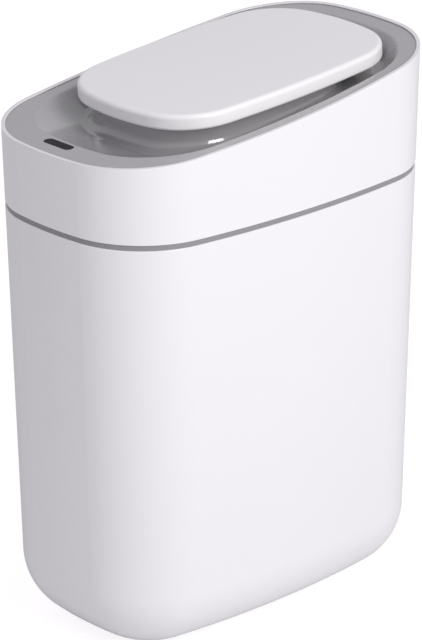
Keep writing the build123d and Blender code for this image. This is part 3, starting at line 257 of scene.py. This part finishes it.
def begin(primitive, **settings):
    """Adds a primitive with its place in its mesh, and opens it in edit mode."""
    let_go()
    primitive(**settings)
    bpy.ops.object.transform_apply(location=True, rotation=True, scale=True)
    piece = bpy.context.object
    edit(piece)
    return piece


def stretch(middle, size):
    """Stretches the selected seed cube to this size."""
    bpy.ops.transform.resize(value=[side / seed for side in size], center_override=middle)


def begin_block(middle, size):
    """Begins a piece as a block, open in edit mode."""
    piece = begin(bpy.ops.mesh.primitive_cube_add, size=seed, location=middle)
    bpy.ops.mesh.select_all(action="SELECT")
    stretch(middle, size)
    return piece


def add_block(middle, size):
    """Adds a block to the piece in edit mode, and leaves only the block selected."""
    bpy.ops.mesh.primitive_cube_add(size=seed, location=middle)
    stretch(middle, size)


def choose(piece, kind, wanted):
    """Selects the faces or edges of the piece in edit mode that wanted() is true for."""
    bpy.ops.mesh.select_all(action="DESELECT")
    bpy.ops.mesh.select_mode(type=kind)
    shape = bmesh.from_edit_mesh(piece.data)
    for part in (shape.faces if kind == "FACE" else shape.edges):
        if wanted(part):
            part.select_set(True)
    bmesh.update_edit_mesh(piece.data)


def choose_side(piece, *way):
    """Selects the faces that look this way."""
    choose(piece, "FACE", lambda face: face.normal.dot(Vector(way)) > nearly_square)


def step_in(*steps):
    """Insets the selected faces once for each pair of a width and a depth."""
    for width, depth in steps:
        bpy.ops.mesh.inset(thickness=width, depth=depth)


def push(*move):
    """Extrudes the selected faces by this move."""
    bpy.ops.mesh.extrude_region_move(TRANSFORM_OT_translate={"value": move})


def round_off(piece, width, segments=2, angle=40):
    """Rounds every edge sharper than the angle."""
    hold(piece)
    rounding = piece.modifiers.new("rounding", "BEVEL")
    rounding.width = width
    rounding.segments = segments
    rounding.limit_method = "ANGLE"
    rounding.angle_limit = math.radians(angle)
    bpy.ops.object.modifier_apply(modifier=rounding.name)


def smooth(piece, angle=35):
    """Puts the piece's place in its mesh, and shades all but sharper edges smooth."""
    hold(piece)
    bpy.ops.object.transform_apply(location=True, rotation=True, scale=True)
    bpy.ops.object.shade_smooth_by_angle(angle=math.radians(angle))


def put(pattern, name, place, body, node=None):
    """Copies a modelled shape to a place, rides it on a body and lets it stand for a node."""
    piece = bpy.data.objects.new(name, pattern.data.copy())
    bpy.context.scene.collection.objects.link(piece)
    piece.data.transform(place)
    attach(piece, body)
    if node:
        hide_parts(node)
    return piece


def drop(pattern):
    """Removes the shape that the copies were made from."""
    bpy.data.objects.remove(pattern, do_unlink=True)


foot_rubber = moulded("foot_rubber", (0.03, 0.03, 0.032), gloss=0.72, mottle=0.3, rubbed=0.15,
                      grain_scale=1500, grain_depth=0.00006)
dress("rubber_feet", foot_rubber)
foot_radius, foot_height, foot_rounding = 0.008, 0.0024, 0.0003
foot_rim, foot_ring = 0.0022, 0.0015
groove_width, groove_slope, groove_depth = 0.0009, 0.0003, 0.0006
dimple_slope, dimple_depth = 0.0004, 0.0005
feet_x, feet_y = 0.022, 0.076
foot = begin(bpy.ops.mesh.primitive_cylinder_add, vertices=48, radius=foot_radius,
             depth=foot_height, location=(0, 0, foot_height / 2))
choose_side(foot, 0, 0, -1)
step_in((foot_rim, 0), (groove_slope, -groove_depth), (groove_width, 0),
        (groove_slope, groove_depth), (foot_ring, 0), (dimple_slope, -dimple_depth))
round_off(foot, foot_rounding, angle=60)
foot.data.materials.append(foot_rubber)
smooth(foot)
foot_places = ((-feet_x, -feet_y), (feet_x, -feet_y), (-feet_x, feet_y), (feet_x, feet_y))
for number, (x, y) in enumerate(foot_places):
    put(foot, f"grooved_foot_{number + 1}", Matrix.Translation((x, y, 0)), "bin",
        "rubber_feet")
drop(foot)


# Head shell. The upper band, of the same white plastic and polish as the bin, drawn
# over the deck so that its thin lip makes the edge of the top.
dress("head_shell", pearl_white)


# Deck. Glossy grey moulding in one piece: ledge, bowl, collar of the mouth and throat.
# The polish makes it mirror the light round the lid.
bowl_grey = moulded("bowl_grey", (0.395, 0.385, 0.40), gloss=0.28, mottle=0.06, rubbed=0.012,
                    grain_scale=38, grain_depth=0.00004, coat=1.0, coat_gloss=0.1, coat_bend=2.0,
                    shine=0.1)
dress("deck", bowl_grey)


# Sensor. A dark window of polished plastic in the ledge. A small board under it carries
# a clear and a dark infrared eye and a red light.
window_dark = moulded("window_dark", (0.018, 0.011, 0.021), gloss=0.22, mottle=0.2, rubbed=0.02,
                      grain_scale=200, grain_depth=0.000004, shine=0.06)
dress("sensor_window", window_dark)
resin_clear = moulded("resin_clear", (0.62, 0.65, 0.72), gloss=0.1, rubbed=0.02, coat=0.5)
dress("infrared_emitter", resin_clear)
resin_dark = moulded("resin_dark", (0.02, 0.018, 0.028), gloss=0.12, rubbed=0.02, coat=0.5)
dress("infrared_receiver", resin_dark)
resin_red = moulded("resin_red", (0.5, 0.05, 0.04), gloss=0.15, rubbed=0.02, coat=0.5)
dress("status_light", resin_red)


def board_group():
    """Thin tracks under a coloured lacquer, which stand up a little."""
    group, ends, out = new_group("lacquered_tracks", (
        ("Colour", "Color"), ("Track Colour", "Color"), ("Gloss", "Float")), skin_looks)
    bare, track = (0, 0, 0, 1), (1, 1, 1, 1)
    gloss_spread = 0.12
    where = add_node(group, "TexCoord")
    tracks = add_node(group, "TexBrick", {
        "Scale": 1, "Brick Width": 0.0052, "Row Height": 0.0013, "Mortar Size": 0.00016,
        "Color1": bare, "Color2": bare, "Mortar": track})
    tint = add_node(group, "Mix", data_type="RGBA")
    cloud = add_node(group, "TexNoise", {"Scale": 180})
    gloss = add_node(group, "Math", {1: gloss_spread}, operation="MULTIPLY_ADD")
    bump = add_node(group, "Bump", {"Distance": 0.00003})
    join(group, (where, "Object", tracks, "Vector"), (where, "Object", cloud, "Vector"),
         (tracks, "Color", tint, "Factor"), (ends, "Colour", tint, "A"),
         (ends, "Track Colour", tint, "B"), (cloud, "Fac", gloss, 0), (ends, "Gloss", gloss, 2),
         (tracks, "Color", bump, "Height"), (tint, "Result", out, "Colour"),
         (gloss, "Value", out, "Roughness"), (bump, "Normal", out, "Normal"))
    return group


board_green, _ = finish_of("board_green", board_group(), (0.015, 0.12, 0.05), {
    "Track Colour": (0.04, 0.26, 0.11, 1), "Gloss": 0.25})
dress("sensor_board", board_green)


# Power switch. A black snap-in rocker switch in the rear wall. Its rocker carries the
# plain bar and ring of on and off, printed in white.
switch_black = moulded("switch_black", (0.02, 0.02, 0.021), gloss=0.3, mottle=0.2)
dress("switch_housing", switch_black)
rocker_black = moulded("rocker_black", (0.025, 0.025, 0.027), gloss=0.45, mottle=0.2,
                       grain_depth=0.00003)
dress("switch_rocker", rocker_black)
mark_white = moulded("mark_white", (0.8, 0.8, 0.8), gloss=0.5, mottle=0.1)
switch_y, switch_z = 0.145541, 0.328
wall_lean, rest_tilt, pivot_depth = math.radians(-91.25), math.radians(-9), 0.0023
hollow_radius = 0.0324
mark_thickness, mark_rounding, mark_height = 0.0001, 0.00002, 0.00073
mark_along, ring_radius, mark_stroke, bar_length = 0.0048, 0.0015, 0.0004, 0.0028
rocker_face = (Matrix.Translation((0, switch_y, switch_z)) @ Matrix.Rotation(wall_lean, 4, "X")
               @ Matrix.Translation((0, 0, -pivot_depth)) @ Matrix.Rotation(rest_tilt, 4, "Y")
               @ Matrix.Translation((0, 0, pivot_depth)))


def on_rocker(across):
    """Place on the hollow face of the rocker, that far along it."""
    height = mark_height + hollow_radius - math.sqrt(hollow_radius ** 2 - across ** 2)
    lie = Matrix.Rotation(-math.asin(across / hollow_radius), 4, "Y")
    return rocker_face @ Matrix.Translation((across, 0, height)) @ lie


def print_mark(mark, name, across):
    """Finishes a modelled mark and lays it on the rocker."""
    round_off(mark, mark_rounding, segments=1)
    mark.data.materials.append(mark_white)
    smooth(mark)
    put(mark, name, on_rocker(across), "power_rocker")
    drop(mark)


ring_mark = begin(bpy.ops.mesh.primitive_cylinder_add, vertices=40, radius=ring_radius,
                  depth=mark_thickness, location=(0, 0, 0))
choose(ring_mark, "FACE", lambda face: abs(face.normal.z) > nearly_square)
step_in((mark_stroke, 0))
bpy.ops.mesh.bridge_edge_loops()
print_mark(ring_mark, "rocker_ring_mark", mark_along)
bar_mark = begin_block((0, 0, 0), (bar_length, mark_stroke, mark_thickness))
print_mark(bar_mark, "rocker_bar_mark", -mark_along)


# Gears. Four wheels of natural nylon, moulded with their hubs. The last one is a toothed
# sector on the lid's shaft. The wheels turn on steel pins.
nylon = moulded("nylon", (0.82, 0.8, 0.73), gloss=0.4, mottle=0.1, rubbed=0.1)
for node in ("lid_sector", "transfer_gear", "output_gear", "idler_gear"):
    dress(node, nylon)


def metal_group():
    """Fine lines along one direction, and the patches of a plated or drawn surface."""
    group, ends, out = new_group("worked_metal", (
        ("Colour", "Color"), ("Gloss", "Float"), ("Stretch", "Vector"),
        ("Line Depth", "Float")), skin_looks)
    gloss_spread = 0.22
    where = add_node(group, "TexCoord")
    drawn = add_node(group, "VectorMath", operation="MULTIPLY")
    lines = add_node(group, "TexNoise", {"Scale": 1, "Detail": 3})
    patches = add_node(group, "TexNoise", {"Scale": 260, "Detail": 4})
    shade = add_node(group, "Mix", {"Factor": 0.3}, data_type="RGBA", blend_type="MULTIPLY")
    gloss = add_node(group, "Math", {1: gloss_spread}, operation="MULTIPLY_ADD")
    bump = add_node(group, "Bump", {"Strength": 0.5})
    join(group, (where, "Object", drawn, 0), (ends, "Stretch", drawn, 1),
         (drawn, "Vector", lines, "Vector"), (where, "Object", patches, "Vector"),
         (ends, "Colour", shade, "A"), (patches, "Fac", shade, "B"), (patches, "Fac", gloss, 0),
         (ends, "Gloss", gloss, 2), (lines, "Fac", bump, "Height"),
         (ends, "Line Depth", bump, "Distance"), (shade, "Result", out, "Colour"),
         (gloss, "Value", out, "Roughness"), (bump, "Normal", out, "Normal"))
    return group


worked_metal = metal_group()


def metal(name, colour, gloss, stretched=(900, 900, 900), line_depth=0.00001):
    """Bare or plated metal; a low number along an axis draws its lines along that axis."""
    made, shader = finish_of(name, worked_metal, colour, {
        "Gloss": gloss, "Stretch": stretched, "Line Depth": line_depth})
    shader.inputs["Metallic"].default_value = 1
    return made


ground_steel = metal("ground_steel", (0.62, 0.62, 0.64), gloss=0.14, stretched=(9000, 500, 500))
dress("gear_pins", ground_steel)


# Motor. A small drawn steel can with a turned nose, rolled over a nylon end cap that
# holds its two blades. Its shaft carries a machined brass pinion.
can_steel = metal("can_steel", (0.66, 0.66, 0.67), gloss=0.2, stretched=(300, 6000, 6000))
brass = metal("brass", (0.78, 0.58, 0.28), gloss=0.18, stretched=(6000, 900, 900))
dress("drive_motor", can_steel)
dress("motor_shaft", ground_steel)
dress("motor_pinion", brass)
motor_x, motor_y, motor_z = 0.0274, 0.116266, 0.324101
motor_radius, motor_length, motor_rounding = 0.01, 0.025, 0.0002
nose_shoulder, nose_root, nose_length, nose_wall = 0.0066, (0.0004, 0.0002), 0.001, 0.0019
bore_depth = 0.0012
can_wall, cap_recess = 0.0008, (0.0002, -0.0006)
cap_shoulder, cap_boss = 0.0055, (0.0003, 0.0005)
blade_x, blade_apart, blade_size = 0.01365, 0.006, (0.0035, 0.0022, 0.0006)
motor_materials = (can_steel, nylon, brass)


def colour_chosen(piece, index):
    """Gives the selected faces the piece's material of this number."""
    for face in bmesh.from_edit_mesh(piece.data).faces:
        if face.select:
            face.material_index = index


motor = begin(bpy.ops.mesh.primitive_cylinder_add, vertices=64, radius=motor_radius,
              depth=motor_length, location=(motor_x, motor_y, motor_z),
              rotation=(0, math.pi / 2, 0))
for material in motor_materials:
    motor.data.materials.append(material)
choose_side(motor, 1, 0, 0)
step_in((nose_shoulder, 0), nose_root)
push(nose_length, 0, 0)
step_in((nose_wall, 0))
push(-bore_depth, 0, 0)
choose_side(motor, -1, 0, 0)
step_in((can_wall, 0), cap_recess)
colour_chosen(motor, motor_materials.index(nylon))
step_in((cap_shoulder, 0), cap_boss)
for side in (-1, 1):
    add_block((blade_x, motor_y, motor_z + side * blade_apart), blade_size)
    colour_chosen(motor, motor_materials.index(brass))
round_off(motor, motor_rounding, angle=60)
motor.name = "motor_can"
smooth(motor)
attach(motor, "head")
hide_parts("drive_motor")


# Gearbox. A dark moulded box and its cover, closed by three screws and held down by two.
# The screws are zinc plated, with a domed head, a cross recess and a coarse thread.
inner_dark = moulded("inner_dark", (0.075, 0.075, 0.082), gloss=0.48, mottle=0.2, rubbed=0.12,
                     grain_depth=0.00004)
dress("gearbox_housing", inner_dark)
dress("gearbox_cover", inner_dark)
zinc = metal("zinc_plate", (0.6, 0.61, 0.62), gloss=0.22)
head_radius, head_rim, head_rim_z = 0.0029, 0.001, -0.0013
dome_steps = ((0.0003, 0.0004), (0.0006, 0.0003), (0.0008, 0.0001))
head_overhang, shank_start_z, shank_limit = 0.00175, -0.0018, 0.0025
thread_pitch, thread_swell, least_tip, tip_taper = 0.001, 1.3, 0.0008, 0.3
recess_length, recess_width, recess_height, recess_taper = 0.003, 0.0006, 0.0022, 0.6
short_length, long_length = 0.006, 0.012
merge_distance = 0.0000005


def cut_slot(screw, across, along):
    """Cuts one tapered slot of the cross into the head of a screw."""
    cutter = begin_block((0, 0, 0), (across, along, recess_height))
    choose_side(cutter, 0, 0, -1)
    bpy.ops.transform.resize(value=(recess_taper, recess_taper, 1),
                             center_override=(0, 0, -recess_height / 2))
    hold(screw)
    recess = screw.modifiers.new("recess", "BOOLEAN")
    recess.operation = "DIFFERENCE"
    recess.solver = "EXACT"
    recess.object = cutter
    bpy.ops.object.modifier_apply(modifier=recess.name)
    drop(cutter)


def screw_pattern(length):
    """A screw whose head's top is at the origin and whose shank points down."""
    screw = begin(bpy.ops.mesh.primitive_cylinder_add, vertices=24, radius=head_radius,
                  depth=head_rim, location=(0, 0, head_rim_z))
    choose_side(screw, 0, 0, 1)
    step_in(*dome_steps)
    choose_side(screw, 0, 0, -1)
    step_in((head_overhang, 0))
    z = shank_start_z
    turns = int((length - least_tip) / thread_pitch)
    tip = length - turns * thread_pitch
    half_turns = [(thread_pitch / 2, swell) for swell in (thread_swell, 1 / thread_swell)] * turns
    for fall, swell in half_turns + [(tip, tip_taper)]:
        z -= fall
        push(0, 0, -fall)
        bpy.ops.transform.resize(value=(swell, swell, 1), center_override=(0, 0, z))
    cut_slot(screw, recess_length, recess_width)
    cut_slot(screw, recess_width, recess_length)
    screw.data.materials.clear()
    screw.data.materials.append(zinc)
    smooth(screw, 40)
    return screw


def solids_of(node):
    """The points of each separate solid of a CAD node, from a merged copy of its mesh."""
    copy = bmesh.new()
    copy.from_mesh(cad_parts[node].data)
    bmesh.ops.remove_doubles(copy, verts=copy.verts, dist=merge_distance)
    copy.verts.ensure_lookup_table()
    copy.verts.index_update()
    found, seen = [], set()
    for start in copy.verts:
        if start.index in seen:
            continue
        seen.add(start.index)
        waiting, points = [start], []
        while waiting:
            point = waiting.pop()
            points.append(tuple(point.co))
            for edge in point.link_edges:
                other = edge.other_vert(point)
                if other.index not in seen:
                    seen.add(other.index)
                    waiting.append(other)
        found.append(numpy.array(points))
    copy.free()
    return found


def screw_place(points):
    """Where a CAD screw's head ends, and the turn that lays a modelled screw along it."""
    middle = points.mean(axis=0)
    axis = numpy.linalg.svd(points - middle)[2][0]
    along = (points - middle) @ axis
    from_axis = numpy.linalg.norm(points - middle - numpy.outer(along, axis), axis=1)
    if along[from_axis > shank_limit].mean() > 0:
        axis, along = -axis, -along
    top = Vector(middle + axis * along.min())
    turn = Vector((0, 0, -1)).rotation_difference(Vector(axis)).to_matrix().to_4x4()
    return Matrix.Translation(top) @ turn


def fit_screws(node, pattern, body):
    """Dresses the CAD screws of a node, and puts a modelled one in the place of each."""
    dress(node, zinc)
    for number, points in enumerate(solids_of(node)):
        put(pattern, f"{node[:-1]}_{number + 1}", screw_place(points), body, node)


short_screw = screw_pattern(short_length)
long_screw = screw_pattern(long_length)
fit_screws("gearbox_screws", short_screw, "head")
fit_screws("gearbox_foot_screws", short_screw, "head")


# Hinge. A ground steel shaft turns with the lid in two flanged bushes of oiled plastic,
# and a spring clip keeps it in place.
dress("hinge_shaft", ground_steel)
dress("shaft_clip", metal("spring_steel", (0.35, 0.35, 0.37), gloss=0.3))
dress("hinge_bushes", moulded("bush_plastic", (0.78, 0.75, 0.66), gloss=0.35, mottle=0.15))


# Lid. A shallow white cap of satin plastic, closed from below by a grey liner plate with
# a soft seal round it. Four screws hold the liner.
liner_grey = moulded("liner_grey", (0.76, 0.75, 0.765), gloss=0.42, mottle=0.12, rubbed=0.06,
                     grain_depth=0.00004)
dress("lid_liner", liner_grey)
seal_grey = moulded("seal_grey", (0.28, 0.28, 0.285), gloss=0.62, mottle=0.3, grain_scale=1600)
dress("lid_seal", seal_grey)
lid_white = moulded("lid_white", (0.915, 0.905, 0.92), gloss=0.38, mottle=0.02, rubbed=0.03,
                    grain_scale=1100, grain_depth=0.000012)
dress("lid_cover", lid_white)
fit_screws("lid_screws", short_screw, "lid")


# Battery bay. A dark box moulded to hold three cells in a row, open from below, with a
# nickel plated contact at each end of each cell.
dress("battery_box", inner_dark)
nickel = metal("nickel_plate", (0.72, 0.7, 0.65), gloss=0.2)
dress("battery_contacts", nickel)
contact_rows = ((-0.1242, 1), (-0.109, -1), (-0.0938, 1))
cell_height, contact_x = 0.30925, 0.02845
plate_thickness, plate_width, plate_height = 0.0005, 0.009, 0.010
plate_corner, plate_rounding = 0.0012, 0.00008
dome_base, dome_end, dome_length, dome_rounding = 0.0034, 0.0016, 0.0027, 0.00012
wire_radius, coil_radius, coil_turns, coil_length, coil_start = 0.00028, 0.0026, 3, 0.0021, 0.0008


def lies_along_x(length):
    """A test for the edges that run along X for nearly all of this length."""
    return lambda edge: abs(edge.verts[0].co.x - edge.verts[1].co.x) > length


def contact_plate():
    """A thin plate with rounded corners, which stands on the origin and faces along X."""
    plate = begin_block((plate_thickness / 2, 0, 0), (plate_thickness, plate_width, plate_height))
    choose(plate, "EDGE", lies_along_x(plate_thickness * nearly_square))
    bpy.ops.mesh.bevel(offset=plate_corner, offset_pct=0, segments=3)
    return plate


plus_contact = contact_plate()
bpy.ops.mesh.primitive_cone_add(
    vertices=28, radius1=dome_base, radius2=dome_end, depth=dome_length,
    location=(plate_thickness + dome_length / 2, 0, 0), rotation=(0, math.pi / 2, 0))
round_off(plus_contact, dome_rounding, angle=50)
plus_contact.data.materials.append(nickel)
smooth(plus_contact)
minus_contact = contact_plate()
round_off(minus_contact, plate_rounding, segments=1, angle=60)
minus_contact.data.materials.append(nickel)
spring = begin(bpy.ops.mesh.primitive_circle_add, vertices=10, radius=wire_radius,
               fill_type="NOTHING", location=(0, coil_radius, 0), rotation=(0, 0, 0))
hold(spring)
coiling = spring.modifiers.new("coiling", "SCREW")
coiling.axis = "X"
coiling.angle = math.radians(360 * coil_turns)
coiling.screw_offset = coil_length
coiling.steps = coiling.render_steps = 60
bpy.ops.object.modifier_apply(modifier=coiling.name)
edit(spring)
bpy.ops.mesh.select_all(action="SELECT")
bpy.ops.mesh.fill_holes(sides=20)
bpy.ops.mesh.select_all(action="SELECT")
bpy.ops.mesh.normals_make_consistent(inside=False)
bpy.ops.transform.translate(value=(coil_start, 0, 0))
spring.data.materials.append(nickel)
smooth(spring, 60)
minus_contact.select_set(True)
bpy.context.view_layer.objects.active = minus_contact
bpy.ops.object.join()
for row, (y, way) in enumerate(contact_rows):
    for end in (-1, 1):
        facing = Matrix.Rotation(0 if end < 0 else math.pi, 4, "Z")
        place = Matrix.Translation((end * contact_x, y, cell_height)) @ facing
        kind, pattern = ("plus", plus_contact) if end == way else ("spring", minus_contact)
        put(pattern, f"{kind}_contact_{row + 1}", place, "head", "battery_contacts")
drop(plus_contact)
drop(minus_contact)


# Cells. Three cells in plain shrunk sleeves with a light band at the plus end; the rolled
# steel ends stay bare.
band_start, band_grey = 0.93, (0.55, 0.57, 0.6, 1)
sleeve_skin, sleeve_shader = finish_of("cell_sleeve", moulded_skin, (0.09, 0.12, 0.17), {
    "Mottle": 0.1, "Gloss": 0.22, "Rubbed": 0.06, "Grain Scale": 300, "Grain Depth": 0.00002})
sleeve_tree = sleeve_skin.node_tree
sleeve_uv = add_node(sleeve_tree, "UVMap", uv_map="UVMap")
sleeve_axes = add_node(sleeve_tree, "SeparateXYZ")
sleeve_band = add_node(sleeve_tree, "Math", {1: band_start}, operation="GREATER_THAN")
sleeve_tint = add_node(sleeve_tree, "Mix", {"B": band_grey}, data_type="RGBA")
join(sleeve_tree, (sleeve_uv, "UV", sleeve_axes, "Vector"), (sleeve_axes, "Y", sleeve_band, 0),
     (sleeve_band, "Value", sleeve_tint, "Factor"),
     (sleeve_tree.nodes["Group"], "Colour", sleeve_tint, "A"),
     (sleeve_tint, "Result", sleeve_shader, "Base Color"))
dress("batteries", sleeve_skin)
cell_radius, cell_length, cell_shift, cell_rounding = 0.00725, 0.0495, -0.0005, 0.0004
plus_steps = ((0.0007, -0.0003), (0.0016, 0), (0.0005, 0.0003), (0.0017, 0))
nub_height, nub_crown = 0.0008, (0.0003, 0.0002)
minus_steps = ((0.0008, -0.0003), (0.0014, 0), (0.0003, 0.0002))
bare_end, bare_radius = 0.02476, 0.0066


def is_bare(face):
    """Whether a face of the cell lies in its bare steel ends."""
    middle = face.calc_center_median()
    return abs(middle.z - cell_shift) > bare_end or math.hypot(*middle.xy) < bare_radius


cell = begin(bpy.ops.mesh.primitive_cylinder_add, vertices=48, radius=cell_radius,
             depth=cell_length, location=(0, 0, cell_shift))
cell.data.materials.append(sleeve_skin)
cell.data.materials.append(nickel)
choose_side(cell, 0, 0, 1)
step_in(*plus_steps)
push(0, 0, nub_height)
step_in(nub_crown)
choose_side(cell, 0, 0, -1)
step_in(*minus_steps)
choose(cell, "FACE", is_bare)
colour_chosen(cell, 1)
round_off(cell, cell_rounding, segments=3, angle=70)
smooth(cell)
for row, (y, way) in enumerate(contact_rows):
    turn = Matrix.Rotation(way * math.pi / 2, 4, "Y")
    put(cell, f"cell_{row + 1}", Matrix.Translation((0, y, cell_height)) @ turn, "head",
        "batteries")
drop(cell)


# Control board. A lacquered board on four posts over the battery bay, with a control chip,
# a buzzer, four wire sockets and small soldered parts.
dress("main_board", board_green)
part_black = moulded("part_black", (0.03, 0.03, 0.032), gloss=0.45, mottle=0.2,
                     grain_depth=0.00003)
part_cream = moulded("part_cream", (0.62, 0.58, 0.48), gloss=0.4, mottle=0.1)
solder = metal("solder", (0.68, 0.68, 0.67), gloss=0.28)
dress("board_parts", part_black)
board_y, board_top = -0.109, 0.3231
part_rounding, small_rounding, buzzer_rounding = 0.0001, 0.00008, 0.0003
socket_size, socket_wall, socket_depth = (0.0045, 0.008, 0.005), 0.0006, 0.0035
pin_apart, pin_z, pin_size = 0.00125, 0.0028, (0.0006, 0.0006, 0.003)
socket_places = ((-0.03475, -0.098, 0), (-0.03475, -0.1068, 0), (0.03475, -0.098, 0),
                 (-0.016, -0.12, 90))


def on_board(x, y, turn):
    """Place on top of the board, turned by this many degrees."""
    return Matrix.Translation((x, y, board_top)) @ Matrix.Rotation(math.radians(turn), 4, "Z")


socket = begin_block((0, 0, socket_size[2] / 2), socket_size)
choose_side(socket, 0, 0, 1)
step_in((socket_wall, 0))
push(0, 0, -socket_depth)
for side in (-1, 1):
    add_block((0, side * pin_apart, pin_z), pin_size)
round_off(socket, part_rounding, segments=1, angle=60)
socket.data.materials.append(part_cream)
smooth(socket)
for number, place in enumerate(socket_places):
    put(socket, f"wire_socket_{number + 1}", on_board(*place), "head",
        "board_parts")
drop(socket)

buzzer_x, buzzer_radius, buzzer_height, buzzer_hole = 0.018, 0.0055, 0.005, 0.0015
buzzer_steps = ((0.0005, -0.0002), (0.0032, 0.0001), (0.0005, 0))
buzzer = begin(bpy.ops.mesh.primitive_cylinder_add, vertices=40, radius=buzzer_radius,
               depth=buzzer_height, location=(buzzer_x, board_y, board_top + buzzer_height / 2))
choose_side(buzzer, 0, 0, 1)
step_in(*buzzer_steps)
push(0, 0, -buzzer_hole)
round_off(buzzer, buzzer_rounding, angle=60)
buzzer.data.materials.append(part_black)
smooth(buzzer)
buzzer.name = "buzzer"
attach(buzzer, "head")
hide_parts("board_parts")

chip_size, chip_z = (0.009, 0.009, 0.0014), board_top + 0.0009
chip_steps = ((0.0002, 0), (0.0003, -0.00005))
dot_radius, dot_height = 0.0005, 0.0001
dot_place = (-0.0033, -0.1123, board_top + 0.00157)
chip = begin_block((0, board_y, chip_z), chip_size)
choose_side(chip, 0, 0, 1)
step_in(*chip_steps)
bpy.ops.mesh.primitive_cylinder_add(vertices=16, radius=dot_radius, depth=dot_height,
                                    location=dot_place)
round_off(chip, part_rounding, segments=1, angle=60)
chip.data.materials.append(part_black)
smooth(chip)
chip.name = "control_chip"
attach(chip, "head")
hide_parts("board_parts")

lead_pitch, leads_on_side = 0.00125, 7
lead_start, lead_size = (-0.00375, 0.0045, 0.0009), (0.0004, 0.0004, 0.0002)
lead_bends = ((0, 0.0003, 0), (0, 0.0003, -0.0008), (0, 0.0005, 0))
leads = begin_block(lead_start, lead_size)
choose_side(leads, 0, 1, 0)
for bend in lead_bends:
    push(*bend)
hold(leads)
lead_row = leads.modifiers.new("row", "ARRAY")
lead_row.count = leads_on_side
lead_row.use_relative_offset = False
lead_row.use_constant_offset = True
lead_row.constant_offset_displace = (lead_pitch, 0, 0)
bpy.ops.object.modifier_apply(modifier=lead_row.name)
leads.data.materials.append(solder)
smooth(leads)
for side in range(4):
    put(leads, f"chip_leads_{side + 1}", on_board(0, board_y, side * 90), "head")
drop(leads)

small_size, small_cap = (0.002, 0.0012, 0.0006), 0.0006
small_places = ((-0.022, -0.104, 0), (-0.022, -0.101, 0), (-0.022, -0.098, 0),
                (-0.009, -0.1005, 90), (0.008, -0.0985, 0), (0.008, -0.1195, 0),
                (0.003, -0.1195, 0), (0.026, -0.1195, 90), (0.0235, -0.1195, 90))
small_part = begin_block((0, 0, small_size[2] / 2), small_size)
small_part.data.materials.append(part_cream)
small_part.data.materials.append(solder)
choose(small_part, "EDGE", lies_along_x(small_size[0] * nearly_square))
bpy.ops.mesh.subdivide(number_cuts=3)
choose(small_part, "FACE", lambda face: abs(face.calc_center_median().x) > small_cap)
colour_chosen(small_part, 1)
round_off(small_part, small_rounding, segments=1, angle=60)
smooth(small_part)
for number, place in enumerate(small_places):
    put(small_part, f"small_part_{number + 1}", on_board(*place), "head")
drop(small_part)

board_screw_length = 0.00455
board_screw = screw_pattern(board_screw_length)
fit_screws("board_screws", board_screw, "head")
drop(board_screw)
fit_screws("bay_screws", short_screw, "head")


# Wires. Leads in black PVC from the board to the motor, the switch, the cells and the
# sensor, laid along the inside of the head.
wire_black = moulded("wire_black", (0.02, 0.02, 0.022), gloss=0.42, mottle=0.3, rubbed=0.1,
                     grain_scale=500)
dress("wiring", wire_black)


# Frame of the head. A matt grey moulding that closes the head from below and drops into
# the bin; its rim is the grey line between bin and head. Eight screws hold it.
frame_grey = moulded("frame_grey", (0.30, 0.29, 0.31), gloss=0.45, mottle=0.12, rubbed=0.08,
                     grain_depth=0.00004)
dress("head_frame", frame_grey)
fit_screws("frame_screws", long_screw, "head")
drop(long_screw)
drop(short_screw)


# Battery door. A plate of the same grey plastic, which swings down to change the cells.
# Its own pins turn in bores of the frame, at the rear edge of the bay.
dress("battery_door", frame_grey)
